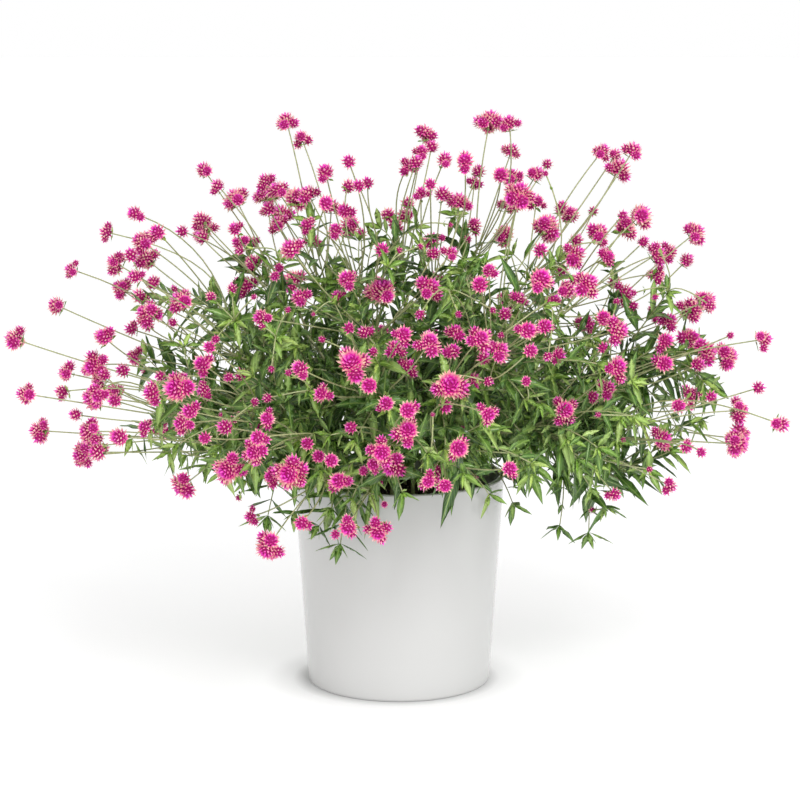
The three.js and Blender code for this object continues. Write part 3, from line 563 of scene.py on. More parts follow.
def back_stems(first_key):
    stems = []
    for s in range(BACK_STEMS):
        key = first_key + s
        sprays = []
        for half in (0, 1):
            around = math.pi * (s * 2 + half + 0.5) / (2 * BACK_STEMS)
            low, high = (0.12, 0.35) if half == s % 2 else (0.75, 1.05)
            climb = between(low, high, key, half, 1)
            sprays.append({"blooms": [back_bloom(around, climb, key, half, i) for i in range(BACK_BLOOMS)]})
        stems.append({"name": f"back_{s + 1}", "key": key, "sprays": sprays, "behind": True})
    return stems


def grow_trunk(stem):
    """A trunk from the mix to its fork."""
    for spray in stem["sprays"]:
        spray["middle"] = sum(bloom["at"] for bloom in spray["blooms"]) / len(spray["blooms"])
        spray["tip"] = lerp(CROWN, spray["middle"], TIP_SHARE)
        spray["tip"][2] = max(spray["tip"][2], POT_HEIGHT + TIP_OVER_RIM)
    middle = sum(spray["tip"] for spray in stem["sprays"]) / len(stem["sprays"])
    steepness = max(0, math.atan2(middle[2] - CROWN[2], math.hypot(middle[0], middle[1])))
    node = stem["node"] = "leafy_stem_" + stem["name"]

    def draw(k):
        stray = 1.5 * k
        outward, around, upward = jolt(stem["key"], k, 6)
        root_out = max(ROOT_IN, ROOT_OUT - ROOT_DRAWN_IN * steepness) + outward * min(12, stray)
        azimuth = math.atan2(middle[1], middle[0]) + around * min(0.6, 0.02 * stray)
        collar = vec(root_out * math.cos(azimuth), root_out * math.sin(azimuth), COLLAR_HEIGHT)
        fork = lerp(CROWN, middle, FORK_SHARE)
        fork[2] = max(fork[2], POT_HEIGHT + FORK_OVER_RIM) + upward * min(12, stray)
        rise = length_of(fork - collar)
        trunk = Curve(collar, collar + UP * rise * 0.45, lerp(fork, collar, 0.3) + UP * rise * 0.12, fork)
        return {"collar": collar, "fork": fork, "trunk": trunk,
                "rods": rods_along(trunk.line(5), STEM_RADIUS + 0.5)}

    stem.update(settle(node, STEM_TRIES, draw))
    apart = stem["sprays"][-1]["tip"] - stem["sprays"][0]["tip"]
    stem["aside"] = sideways(stem["trunk"].tangent(1), apart if length_of(apart) else middle)[0]
    stem["branches"] = []


def grow_branch(spray, stem, i):
    """A branch to each spray: the first goes on from the trunk's end, the second parts from its side."""
    direct = spray["tip"] - stem["fork"]
    reach = length_of(direct)
    onward = stem["trunk"].tangent(1)
    start = stem["fork"]
    if i:
        start = start + onward * (-2 / 3 * FORK_SPAN) + stem["aside"] * FORK_OUT
    away = (onward + unit(direct)) * (0.2 * reach)

    def draw(k):
        knee = start + away + jolt(stem["key"], k, i, 9) * min(24, 1.5 * k)
        if i:
            knee = knee + stem["aside"] * (0.1 * reach)
        curve = Curve(start, knee, spray["tip"])
        points = curve.line(6)
        r = BRANCH_RADIUS + 0.4
        if not i:
            return {"curve": curve, "rods": limb_rods(points, r)}
        root = (start - stem["aside"] * FORK_OUT, start, r, False)
        ease = dot(curve.tangent(0), stem["aside"]) - SHARPEST + CLEAR
        return {"curve": curve, "ease": ease, "rods": [root, *rods_along(points, r)]}

    stem["branches"].append(settle(stem["node"], BRANCH_TRIES, draw)["curve"])


def side_of_trunk(stem, onward, towards):
    """Which way the trunk's side looks that faces a direction best, out of its three sides."""
    aside, square = sideways(onward, stem["aside"])
    third = 2 * math.pi / 3
    ways = [spoke(aside, square, turn) for turn in (0, third, -third)]
    return max(ways, key=lambda way: dot(way, towards))


def grow_shoot(stem, i):
    """A leafy shoot without flowers, from a side of the trunk out over the rim."""
    share, aside, height = SHOOTS[i]
    parting = stem["trunk"].at(share)
    onward = stem["trunk"].tangent(share)
    outward = stem["fork"] - CROWN
    key = stem["key"]

    def draw(k):
        azimuth = math.atan2(outward[1], outward[0]) + aside + between(-0.01, 0.01, key, i, k, 31) * k
        reach = between(0.88, 1, key, i, k, 32)
        end = vec(SHOOT_ACROSS * reach * math.cos(azimuth), SHOOT_DEEP * reach * math.sin(azimuth), height)
        end = end + jolt(key, i, k, 33) * min(20, k)
        facing = side_of_trunk(stem, onward, unit(end - parting))
        start = parting + facing * FORK_OUT
        span = length_of(end - start)
        knee = lerp(start, end, 0.4) + UP * (0.2 * span) + facing * (0.1 * span)
        knee = knee + jolt(key, i, k, 34) * min(24, 0.8 * k)
        curve = Curve(start, knee, end)
        r = SHOOT_RADIUS + 0.4
        ease = dot(curve.tangent(0), facing) - SHARPEST + CLEAR
        rods = [(parting, start, r, False), *rods_along(curve.line(6), r)]
        return {"share": share, "parting": parting, "curve": curve, "ease": ease, "rods": rods}

    shoot = settle(stem["node"], SHOOT_TRIES, draw, True)
    if shoot:
        stem["shoots"].append(shoot)


def grow_axis(spray, stem, i):
    """A spray's axis, with the sites on its three sides where stalks part square from it."""
    node = spray["node"] = f"flower_spray_{stem['name']}_{i + 1}"
    levels = math.ceil(len(spray["blooms"]) / 2)
    onward = stem["branches"][i].tangent(1)
    aim = unit(lerp(unit(spray["middle"] - spray["tip"]), onward, 0.35))
    start = spray["start"] = spray["tip"] + onward * SEAT_GAP
    foot = spray["foot"] = start + onward * AXIS_FOOT

    def draw(k):
        top = foot + aim * (levels * LEVEL_HEIGHT) + jolt(stem["key"], i, k, 12) * min(8, 0.5 * k)
        return {"top": top, "rods": rods_along([foot, top], AXIS_RADIUS + 0.3)}

    top = spray["top"] = settle(node, AXIS_TRIES, draw)["top"]
    placed.add(start, foot, AXIS_RADIUS + 0.3, node)
    axis = spray["axis"] = unit(top - foot)
    a, b = sideways(axis, carried(-sideways(onward)[0], onward, axis))
    spray["sites"] = []
    for level in range(levels):
        for side in range(3):
            turn = math.pi * (2 * side + 1) / 3
            facing = spoke(a, b, turn)
            at = lerp(foot, top, (level + 1 / 3) / levels)
            spray["sites"].append({"facing": facing, "at": at, "out": at + facing * STALK_OUT})


def growth_order(spray):
    """The bloom most straight ahead of the axis comes first, and then the largest of the rest."""
    blooms = spray["blooms"]
    first = max(blooms, key=lambda bloom: dot(unit(bloom["at"] - spray["top"]), spray["axis"]))
    rest = [bloom for bloom in blooms if bloom is not first]
    return [first, *sorted(rest, key=lambda bloom: -bloom["radius"])]


def take_site(spray, bloom):
    """The free side of the axis that faces a bloom best."""
    best = max(spray["sites"], key=lambda site: dot(unit(bloom["at"] - site["at"]), site["facing"]))
    spray["sites"] = [site for site in spray["sites"] if site is not best]
    return best


def grow_bloom(bloom, spray, rank, *keys):
    """A bloom on its stalk, which bends over towards the bloom."""
    axis = spray["axis"]
    ahead = {"facing": axis, "at": spray["top"], "out": spray["top"] + axis * STALK_OUT}
    site = take_site(spray, bloom) if rank else ahead
    facing, root, parting = site["facing"], site["at"], site["out"]
    radius = bloom["radius"]

    def draw(k):
        at = bloom["place"](between(-1, 1, *keys, k, 15) * (DEPTH_SPREAD + 1.2 * k))
        at = at + jolt(*keys, k, 16) * (0.1 * k)
        reach = length_of(at - parting)
        knee = lerp(parting, at, 0.3) + axis * (reach * 0.1) + facing * (reach * 0.1)
        knee = knee + jolt(*keys, k, 17) * min(0.25 * reach, 2 + 0.6 * k)
        along = unit(at - knee)
        curve = Curve(parting, knee, at - along * (0.8 * radius))
        bend = curve.line(1 if reach < LONG_STALK else 2)
        r = STALK_RADIUS + 0.2
        first_way = dot(unit(bend[1] - bend[0]), facing)
        last_way = dot(unit(bend[-1] - bend[-2]), along)
        ease = min(first_way - SHARPEST, last_way - SHARPEST) + CLEAR
        rods = [(root, parting, r, False), *rods_along(bend, r), (at, at, radius * 1.1, True)]
        return {"at": at, "along": along, "curve": curve, "root": root, "ease": ease, "rods": rods}

    bloom.update(settle(spray["node"], BLOOM_TRIES, draw))


def grow_leaf(stem, base, along, angle, share, *keys):
    """A leaf that arches down from its stem, or None where it would cross something."""
    a, b = sideways(along)

    def draw(k):
        turned = angle + between(-0.8, 0.8, *keys, k, 21) * k / LEAF_TRIES
        lean = between(0.35, 0.65, *keys, k, 22)
        out = unit(spoke(a, b, turned) * (1 - lean * 0.4) + along * lean + UP * 0.15)
        length = LEAF_LENGTH * (1.12 - 0.35 * share) * between(0.85, 1.1, *keys, 23) * (1 - 0.05 * k)
        drops = [(0, 0), (0.38, 0.02), (0.72, 0.11), (0.97, 0.27)]
        if length < SMALL_LEAF:
            drops = [(0, 0), (0.5, 0.04), (0.98, 0.2)]
        line = [base + out * (length * part) - UP * (drop * length) for part, drop in drops]
        width = LEAF_WIDTH * length / LEAF_LENGTH
        root, neck, wide = (lerp(line[0], line[1], part) for part in (0, 0.28, 0.5))
        rods = [(root, neck, 1.6, False), (neck, wide, 1.6, True), (wide, line[1], width * 0.3, True)]
        rods += rods_along(line[1:], width * 0.42)
        return {"out": out, "line": line, "width": width, "along": along, "rods": rods}

    return settle(stem["node"], LEAF_TRIES, draw, True)


def grow_leaves(stem, curve, c):
    """Leaves in opposite pairs up a curve, each pair square to the last. A trunk's end below its fork."""
    length = curve.length()
    first = 0.12 if c else 0.3
    last = 1 if c else 1 - (FORK_SPAN + LEAF_NODE) / length
    spacing = SHOOT_LEAF_SPACING if c > len(stem["branches"]) else LEAF_SPACING
    count = max(1, math.floor(length * (last - first) / spacing + 0.5))
    leaves = []
    for n in range(count):
        share = first + (last - first) * (n + 0.5) / count
        quarter = (c + n) % 2 * (math.pi / 2) + between(-0.5, 0.5, stem["key"], c, n, 20)
        base, along = curve.at(share), curve.tangent(share)
        for half in (0, 1):
            keys = (stem["key"], c, n, half)
            leaf = grow_leaf(stem, base, along, quarter + half * math.pi, share if c else 0, *keys)
            if leaf:
                leaves.append({**leaf, "share": share})
    return leaves


def off_the_shoots(stem, leaves):
    """A trunk's leaves but for those that would meet a shoot's foot."""
    apart = (FORK_SPAN / 2 + LEAF_NODE / 2 + 1) / stem["trunk"].length()
    shares = [shoot["share"] for shoot in stem["shoots"]]
    return [leaf for leaf in leaves if all(abs(share - leaf["share"]) > apart for share in shares)]


def grow_plant():
    """The plant's stems, each with its sprays, blooms and leaves, in the order that the solids grew in."""
    stems = seen_stems()
    stems += back_stems(len(stems))
    for stem in stems:
        grow_trunk(stem)
    for stem in stems:
        for i, spray in enumerate(stem["sprays"]):
            grow_branch(spray, stem, i)
    for stem in stems:
        for i, spray in enumerate(stem["sprays"]):
            grow_axis(spray, stem, i)
    for stem in stems:
        for i, spray in enumerate(stem["sprays"]):
            for rank, bloom in enumerate(growth_order(spray)):
                grow_bloom(bloom, spray, rank, stem["key"], i, rank)
    for stem in stems:
        stem["shoots"] = []
        if stem["behind"]:
            for i in range(len(SHOOTS)):
                grow_shoot(stem, i)
    for stem in stems:
        stem["leaves"] = off_the_shoots(stem, grow_leaves(stem, stem["trunk"], 0))
        for c, curve in enumerate([*stem["branches"], *(shoot["curve"] for shoot in stem["shoots"])]):
            stem["leaves"] += grow_leaves(stem, curve, c + 1)
    return stems


# Meshes
class Shape:
    """Triangles gathered in millimetres, with values at each point for the material."""

    def __init__(self, *names):
        self.points = []
        self.faces = []
        self.values = {name: [] for name in names}
        self.count = 0

    def add(self, points, faces, **values):
        points = np.asarray(points, dtype=float).reshape(-1, 3)
        self.points.append(points)
        self.faces.append(np.asarray(faces, dtype=int).reshape(-1, 3) + self.count)
        for name, held in self.values.items():
            held.append(np.broadcast_to(np.asarray(values.get(name, 0.0), dtype=float), len(points)))
        self.count += len(points)

    def piece(self, name, material, smooth=True):
        """A Blender object in metres, which rides on the plant's one body."""
        points = np.concatenate(self.points) / 1000
        faces = np.concatenate(self.faces)
        mesh = bpy.data.meshes.new(name)
        mesh.vertices.add(len(points))
        mesh.vertices.foreach_set("co", points.ravel())
        mesh.loops.add(faces.size)
        mesh.loops.foreach_set("vertex_index", faces.ravel())
        mesh.polygons.add(len(faces))
        mesh.polygons.foreach_set("loop_start", np.arange(0, faces.size, 3))
        mesh.polygons.foreach_set("use_smooth", np.full(len(faces), smooth))
        for value, held in self.values.items():
            layer = mesh.attributes.new(value, "FLOAT", "POINT")
            layer.data.foreach_set("value", np.concatenate(held))
        mesh.update(calc_edges=True)
        mesh.validate()
        mesh.materials.append(material)
        made = bpy.data.objects.new(name, mesh)
        bpy.context.scene.collection.objects.link(made)
        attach(made, "root")
        return made


def strip(ring, following):
    """Triangles between two rings of point numbers that run the same way round."""
    count = len(ring)
    faces = []
    for i in range(count):
        j = (i + 1) % count
        faces += [(ring[i], ring[j], following[j]), (ring[i], following[j], following[i])]
    return faces


def tube_faces(rings, sides):
    """Triangles of a closed tube of rings, with a point at each end after them."""
    faces = []
    for k in range(rings - 1):
        here = [k * sides + i for i in range(sides)]
        faces += strip(here, [i + sides for i in here])
    start, end = rings * sides, rings * sides + 1
    last = (rings - 1) * sides
    for i in range(sides):
        j = (i + 1) % sides
        faces += [(start, j, i), (end, last + i, last + j)]
    return faces


def add_tube(shape, line, radii, sides, **values):
    """A closed round tube along a line, with a radius at each point."""
    line = [np.asarray(p, dtype=float) for p in line]
    radii = np.broadcast_to(radii, len(line))
    turns = np.arange(sides) * (2 * math.pi / sides)
    way = unit(line[1] - line[0])
    a, b = sideways(way)
    points = []
    for i, p in enumerate(line):
        onward = unit(line[min(i + 1, len(line) - 1)] - line[max(i - 1, 0)])
        a, b = sideways(onward, a)
        points.append(p + radii[i] * (np.cos(turns)[:, None] * a + np.sin(turns)[:, None] * b))
    rings = np.concatenate(points + [line[:1], line[-1:]])
    along = np.append(np.repeat(np.linspace(0, 1, len(line)), sides), (0, 1))
    shape.add(rings, tube_faces(len(line), sides), along=along, across=0.5, **values)


# A leaf's rings: how far along it each lies, and how wide the leaf is there
RING_ALONG = np.array([0.07, 0.24, 0.44, 0.66, 0.87])
RING_WIDE = np.array([0.24, 0.84, 1.0, 0.76, 0.32])
LEAF_SIDES = 4
DROOP_CURVE = 2.4
EDGE_WAVE = 0.12
EDGE_WAVES = 1.6
KEEL = 0.035


def add_leaves(shape, leaves):
    """Closed thin blades, folded along the midrib, with waved edges, arching over towards the tip."""
    if not leaves:
        return
    base, out, face = (np.array([leaf[key] for leaf in leaves]) for key in ("base", "out", "face"))
    names = ("length", "width", "droop", "bend", "fold", "phase", "young", "shade")
    length, width, droop, bend, fold, phase, young, shade = (
        np.array([leaf[name] for leaf in leaves])[:, None] for name in names)
    side = np.cross(face, out)
    wide = RING_WIDE
    along = np.concatenate([[0], RING_ALONG, [1]])[None]
    middle = base[:, None] + out[:, None] * (along * length)[..., None]
    middle = middle - UP * (droop * along ** DROOP_CURVE * length)[..., None]
    middle = middle + side[:, None] * (bend * along ** 2 * length)[..., None]
    inner = middle[:, 1:-1]
    half = width / 2 * wide[None]
    wave = EDGE_WAVE * width * np.sin(2 * math.pi * (EDGE_WAVES * RING_ALONG[None] + phase))
    across = side[:, None] * half[..., None]
    up = face[:, None]
    lift = up * (half * fold)[..., None]
    ripple = up * (wave * wide)[..., None]
    keel = inner - up * (KEEL * width * wide)[..., None]
    rings = np.stack([inner - across + lift + ripple, inner, inner + across + lift - ripple, keel], axis=2)
    count = len(leaves)
    points = np.concatenate([rings.reshape(count, -1, 3), middle[:, :1], middle[:, -1:]], axis=1)
    ring_count = len(RING_ALONG)
    faces = np.array(tube_faces(ring_count, LEAF_SIDES))
    each = points.shape[1]
    all_faces = faces[None] + (np.arange(count) * each)[:, None, None]
    point_along = np.concatenate([np.repeat(RING_ALONG, LEAF_SIDES), [0, 1]])
    point_across = np.concatenate([np.tile([1, 0, 1, 0], ring_count), [0, 0]])
    shape.add(
        points, all_faces, along=np.tile(point_along, count), across=np.tile(point_across, count),
        young=np.repeat(young[:, 0], each), shade=np.repeat(shade[:, 0], each),
    )


def leaf_face(out, up=UP):
    """The way a blade's upper face looks, as near upright as its direction lets it."""
    return unit(up - out * dot(up, out))


def blade(base, out, length, width, young, *keys, up=UP, droop=0.26):
    """A leaf for add_leaves, with its small differences drawn. A draw's last key only tells draws apart."""
    return {
        "base": base, "out": out, "face": leaf_face(out, up), "length": length, "width": width,
        "droop": droop, "bend": between(-0.12, 0.12, *keys, 31), "fold": between(0.15, 0.5, *keys, 32),
        "phase": chance(*keys, 33), "young": young, "shade": chance(*keys, 34),
    }


def grown_leaf(leaf, *keys):
    """The finer blade of a leaf that the solids have too."""
    reach = length_of(leaf["line"][-1] - leaf["line"][0])
    young = 0.25 * chance(*keys, 41)
    return blade(leaf["line"][0], leaf["out"], reach * 1.04, leaf["width"], young, *keys)


def add_rosette(leaves, at, along, size, young, *keys):
    """Young leaves in crossed pairs round a growing tip."""
    a, b = sideways(along)
    for n in range(3):
        for half in (0, 1):
            turn = math.pi * (half + n / 2) + between(-0.4, 0.4, *keys, n, half, 51)
            lean = 0.35 + 0.45 * n + between(-0.1, 0.1, *keys, n, half, 52)
            out = unit(spoke(a, b, turn) + along * lean)
            length = size * (1 - 0.24 * n) * between(0.8, 1.15, *keys, n, half, 53)
            tint = min(1, max(0, young + 0.25 * n))
            leaves.append(blade(at, out, length, length * 0.3, tint, *keys, n, half, up=along, droop=0.18))


# Leafy shoots between the stems
def sprig_ends():
    """Even places on domes round the plant's middle, from the top to a little below the rim."""
    ends = []
    for dome, (share, count) in enumerate(FOLIAGE_DOMES):
        for i in range(count):
            around = i * GOLDEN_ANGLE + dome
            in_front = max(0, -math.sin(around)) ** 3
            lowest = LOWEST + (LOWEST_IN_FRONT - LOWEST) * in_front
            climb = 1 - (i + 0.5) / count * (1 - lowest)
            level = math.sqrt(max(0, 1 - climb * climb))
            reach = share * between(0.82, 1.1, dome, i, 61)
            across, deep, high = FOLIAGE_REACH
            rise = climb * (high if climb > 0 else FOLIAGE_DROP)
            way = vec(across * level * math.cos(around), deep * level * math.sin(around), rise)
            if climb < THIN_ABOVE or chance(dome, i, 60) > THINNED:
                ends.append(((dome, i), np.array(FOLIAGE_MIDDLE) + way * reach))
    ends += [((len(FOLIAGE_DOMES), i), vec(x, y, z)) for i, (x, z, y) in enumerate(HANGING + SIDEWARD)]
    return ends


def sprig_roots(plant):
    """Places on the stems where a shoot may part: the stem, the place and the way onward there."""
    roots = []
    for stem in plant:
        shoots = [shoot["curve"] for shoot in stem["shoots"]]
        for c, curve in enumerate([stem["trunk"], *stem["branches"], *shoots]):
            for i in range(2 if c == 0 else 0, 10):
                roots.append((stem, curve.at(i / 10), curve.tangent(i / 10)))
    return roots


def add_sprig(leaves, sprigs, root, end, keys):
    """A leafy shoot from a stem to its end, with leaves in crossed pairs and a rosette on its tip."""
    start, onward = root
    reach = length_of(end - start)
    knee = lerp(start, end, 0.45) + onward * (0.12 * reach) + UP * (0.16 * reach)
    knee = knee + jolt(*keys, 62) * (0.1 * reach)
    if end[2] < POT_HEIGHT + 25:
        knee[2] = max(knee[2], POT_HEIGHT + SPRIG_OVER_RIM)
    curve = Curve(start, knee, end)
    sprigs.append(curve.line(9))
    pairs = max(2, round(reach / SPRIG_SPACING))
    hangs = end[2] < POT_HEIGHT
    for n in range(pairs):
        share = SPRIG_BARE + (1 - SPRIG_BARE) * n / pairs
        base, along = curve.at(share), curve.tangent(share)
        a, b = sideways(along)
        # Mostly small pairs, and a few large ones, which are darker
        size = 0.36 + 0.78 * chance(*keys, n, 69) ** 1.7
        for half in (0, 1):
            turn = math.pi * (half + n / 2) + between(-0.5, 0.5, *keys, n, half, 63)
            lean = between(0.35, 0.8, *keys, n, half, 64)
            out = unit(spoke(a, b, turn) + along * lean + UP * 0.1)
            length = LEAF_LENGTH * (1.08 - 0.3 * share) * size * between(0.85, 1.1, *keys, n, half, 65)
            width = length * between(0.2, 0.29, *keys, n, half, 66)
            tint = share * 0.45 * chance(*keys, n, 67) ** 2
            droop = between(0.04, 0.3, *keys, n, half, 68)
            # The upper face looks on towards the shoot's tip and up
            upper = unit(along + UP * 0.5 + jolt(*keys, n, half, 70) * 0.4)
            leaf = blade(base, out, length, width, tint, *keys, n, half, up=upper, droop=droop)
            leaf["shade"] *= 0.4 if hangs else 1 - 0.6 * max(0, size - 0.7) / 0.44
            tip = base + out * length - UP * (droop * length)
            if pot_clearance(base + out * (0.3 * length), tip, 0.2 * length * 0.3) > 0:
                leaves.append(leaf)
    size, young = (34, -0.1) if hangs else (30, 0.25)
    add_rosette(leaves, curve.at(1), curve.tangent(1), size, young, *keys)


def grow_sprigs(plant):
    """Leafy shoots parted over the stems, each from the place that suits its end best."""
    roots = sprig_roots(plant)
    places = np.array([place for _, place, _ in roots])
    middle = np.array(FOLIAGE_MIDDLE)
    for stem in plant:
        stem["more_leaves"] = []
        stem["sprigs"] = []
        stem["buds"] = []
    for keys, end in sprig_ends():
        apart = np.sqrt(((places - end) ** 2).sum(1))
        outward = unit(end - middle)
        behind = (places - end) @ outward
        cost = np.abs(apart - SPRIG_LENGTH) + np.maximum(0, behind + 0.6 * apart) * 2
        stem, *root = roots[int(cost.argmin())]
        add_sprig(stem["more_leaves"], stem["sprigs"], root, end, keys)


def grow_buds(plant):
    """Small buds in front of the foliage, each on a stalk from the nearest shoot's tip."""
    tips = [(stem, line[-1], unit(line[-1] - line[-2])) for stem in plant for line in stem["sprigs"]]
    places = np.array([tip for _, tip, _ in tips])
    x, y, z = FOLIAGE_MIDDLE
    for n, (across, height, diameter) in enumerate(BUDS):
        high = FOLIAGE_REACH[2] if height > z else FOLIAGE_DROP
        out = ((across - x) / FOLIAGE_REACH[0]) ** 2 + ((height - z) / high) ** 2
        depth = y - FOLIAGE_REACH[1] * math.sqrt(max(0.04, 1 - out)) * between(0.85, 1.02, n, 111)
        at = seen_at(across, height, depth)
        stem, start, onward = tips[int(((places - at) ** 2).sum(1).argmin())]
        reach = length_of(at - start)
        curve = Curve(start, start + onward * (0.4 * reach) + UP * (0.1 * reach), at)
        stem["buds"].append({"at": at, "radius": diameter / 2, "curve": curve, "along": curve.tangent(1)})


def add_bud(shape, bud, *keys):
    """A bud's stalk, which thickens under it, with two small leaves that hold it."""
    line = bud["curve"].line(6)
    add_tube(shape, line, np.linspace(STALK_RADIUS * 0.7, STALK_RADIUS, len(line)), 5, stem=1, young=0.5)
    along = bud["along"]
    a, b = sideways(along)
    size = bud["radius"] * 1.7
    leaves = []
    for half in (0, 1):
        out = unit(spoke(a, b, math.pi * half + between(0, 3, *keys, 112)) + along * 0.7)
        leaves.append(blade(line[-2], out, size, size * 0.4, 0.6, *keys, half, up=along, droop=-0.1))
    return leaves


def leafy_stem_piece(stem, material):
    """A stem with its branches, shoots and leaves."""
    shape = Shape("along", "across", "young", "shade", "stem")
    key = stem["key"]
    collar = stem["collar"]
    root = vec(collar[0], collar[1], MIX_EDGE - HOLE_DEPTH + 2)
    sides = 7
    trunk = [root, *stem["trunk"].line(14)]
    radii = np.linspace(STEM_RADIUS, BRANCH_RADIUS, len(trunk))
    add_tube(shape, trunk, radii, sides, stem=1, shade=chance(key, 71))
    for i, curve in enumerate(stem["branches"]):
        line = curve.line(14)
        if i:
            line = [line[0] - stem["aside"] * FORK_OUT, *line]
        radii = np.linspace(BRANCH_RADIUS, BRANCH_RADIUS * 0.8, len(line))
        add_tube(shape, line, radii, sides, stem=1, shade=chance(key, i, 72))
    for i, shoot in enumerate(stem["shoots"]):
        line = [shoot["parting"], *shoot["curve"].line(14)]
        radii = np.linspace(SHOOT_RADIUS, SHOOT_RADIUS * 0.7, len(line))
        add_tube(shape, line, radii, sides, stem=1, shade=chance(key, i, 76))
    for i, line in enumerate(stem["sprigs"]):
        radii = np.linspace(SPRIG_RADIUS, SPRIG_RADIUS * 0.6, len(line))
        add_tube(shape, line, radii, 5, stem=1, young=0.3, shade=chance(key, i, 73))
    leaves = [grown_leaf(leaf, key, n) for n, leaf in enumerate(stem["leaves"])]
    for i, spray in enumerate(stem["sprays"]):
        add_rosette(leaves, spray["start"], unit(spray["foot"] - spray["start"]), 34, 0.3, key, i, 74)
    for n, bud in enumerate(stem["buds"]):
        leaves += add_bud(shape, bud, key, n)
    add_leaves(shape, leaves + stem["more_leaves"])
    made = shape.piece(stem["node"] + "_leaves", material)
    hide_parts(stem["node"])
    return made


# Flower heads

# How many bracts a head of this radius has. Larger heads have more of them.
HEAD_BRACTS = 74
HEAD_RADIUS = 11
LEAST_BRACTS = 26
LEAST_BUD_BRACTS = 20
# How far the bracts reach, as a share of the solid's radius
BLOOM_REACH = 1.31
BUD_REACH = 1.1
# Diameters from which a bloom has heads at its sides, and from which it has more
LOBED_FROM = 16
MORE_LOBES_FROM = 21
# Shares of a head's radius
HEAD_CORE = 0.62
BRACT_ROOT = 0.45
BRACT_WAIST = 0.76
# How far down a globe its bracts go, from 0 at the top to 2 at the stalk
BRACTS_DOWN = 1.86
# A bract is a thin spindle: its root, three points round its waist, and its tip
BRACT_ALONG = [0.1, 0.55, 0.55, 0.55, 1.0]
BRACT_POINTS = len(BRACT_ALONG)
BRACT_FACES = [(0, 1, 2), (0, 2, 3), (0, 3, 1), (4, 2, 1), (4, 3, 2), (4, 1, 3)]


def globe(rings, sides):
    """Points and triangles of a closed ball of radius 1."""
    points = []
    for k in range(rings):
        climb = math.pi * (k + 1) / (rings + 1)
        for i in range(sides):
            turn = 2 * math.pi * (i + 0.5 * (k % 2)) / sides
            level = math.sin(climb)
            points.append((level * math.cos(turn), level * math.sin(turn), -math.cos(climb)))
    points += [(0, 0, -1), (0, 0, 1)]
    return np.array(points), np.array(tube_faces(rings, sides))


def add_head(shape, at, axis, radius, count, *keys):
    """A globe of pointed bracts round a core. Those round its top have smaller pale tips."""
    a, b = sideways(axis)
    turn = np.stack([a, b, axis])
    ball, faces = globe(5, 8)
    shape.add(at + (ball * radius * HEAD_CORE) @ turn, faces, along=0.15, shade=chance(*keys, 81))
    i = np.arange(count)
    climb = 1 - (i + 0.5) / count * BRACTS_DOWN
    level = np.sqrt(1 - climb * climb)
    around = i * GOLDEN_ANGLE + chance(*keys, 82) * 6
    draws = np.array([[chance(*keys, n, m, 83) for m in range(3)] for n in range(count)])
    way = np.stack([level * np.cos(around), level * np.sin(around), climb], axis=1)
    out = way @ turn
    side = np.cross(axis, out)
    side /= np.maximum(1e-6, np.sqrt((side * side).sum(1)))[:, None]
    under = np.cross(side, out)
    long = radius * (0.84 + 0.32 * draws[:, :1] + 0.04 * (1 - climb[:, None]))
    half = radius * (0.12 + 0.045 * draws[:, 1:2])
    lift = radius * 0.16 * (1 - climb[:, None] ** 2)
    stray = radius * 0.12 * (draws[:, 2:] - 0.5)
    tip = at + out * long + axis * lift + side * stray
    waist = at + out * (radius * BRACT_WAIST)
    root = at + out * (radius * BRACT_ROOT)
    left, right, keel = waist + side * half, waist - side * half, waist + under * half * 0.8
    points = np.stack([root, left, right, keel, tip], axis=1)
    faces = np.array(BRACT_FACES)[None] + (i * BRACT_POINTS)[:, None, None]
    pale = np.clip(0.16 + 1.25 * (1 - climb), 0, 1)
    shape.add(
        points, faces, along=np.tile(BRACT_ALONG, count), shade=np.repeat(draws[:, 1], BRACT_POINTS),
        pale=np.repeat(pale, BRACT_POINTS), bloom=chance(*keys, 84),
    )


def bract_count(radius, least):
    return max(least, round(HEAD_BRACTS * (radius / HEAD_RADIUS) ** 1.5))


def add_bloom(shape, bloom, *keys):
    """A bloom: one head, or on a large one a head with others pressed to its sides."""
    radius, at, along = bloom["radius"], bloom["at"], bloom["along"]
    whole = radius * BLOOM_REACH
    count = bract_count(radius, LEAST_BRACTS)
    if 2 * radius < LOBED_FROM:
        add_head(shape, at, along, whole, count, *keys, 0)
        return
    least, most = (1, 3.9) if 2 * radius < MORE_LOBES_FROM else (2, 5.9)
    lobes = int(between(least, most, *keys, 91))
    a, b = sideways(along)
    size = whole * (0.8 if lobes < 3 else 0.72)
    add_head(shape, at + along * (whole - size) * 0.6, along, size, round(count * 0.8), *keys, 0)
    for n in range(lobes):
        share = (n + between(-0.25, 0.25, *keys, n, 92)) / max(2, lobes)
        turn = 2 * math.pi * share + between(0, 6, *keys, 93)
        out = unit(spoke(a, b, turn) + along * between(-0.5, 0.2, *keys, n, 94))
        small = whole * between(0.45, 0.64, *keys, n, 95)
        place = at + out * (whole * 1.22 - small)
        add_head(shape, place, unit(out + along * 0.4), small, round(count * 0.45), *keys, n + 1)


def leaves_under(bloom, *keys):
    """The two small leaves that spread under a bloom."""
    along = bloom["along"]
    neck = bloom["at"] - along * (bloom["radius"] * 0.8)
    a, b = sideways(along)
    leaves = []
    for half in (0, 1):
        out = unit(spoke(a, b, math.pi * half + between(0, 3, *keys, 99)) + along * 0.15)
        size = bloom["radius"] * between(0.9, 1.3, *keys, half, 96)
        leaves.append(blade(neck, out, size, size * 0.42, 0.5, *keys, half, up=along, droop=0.1))
    return leaves


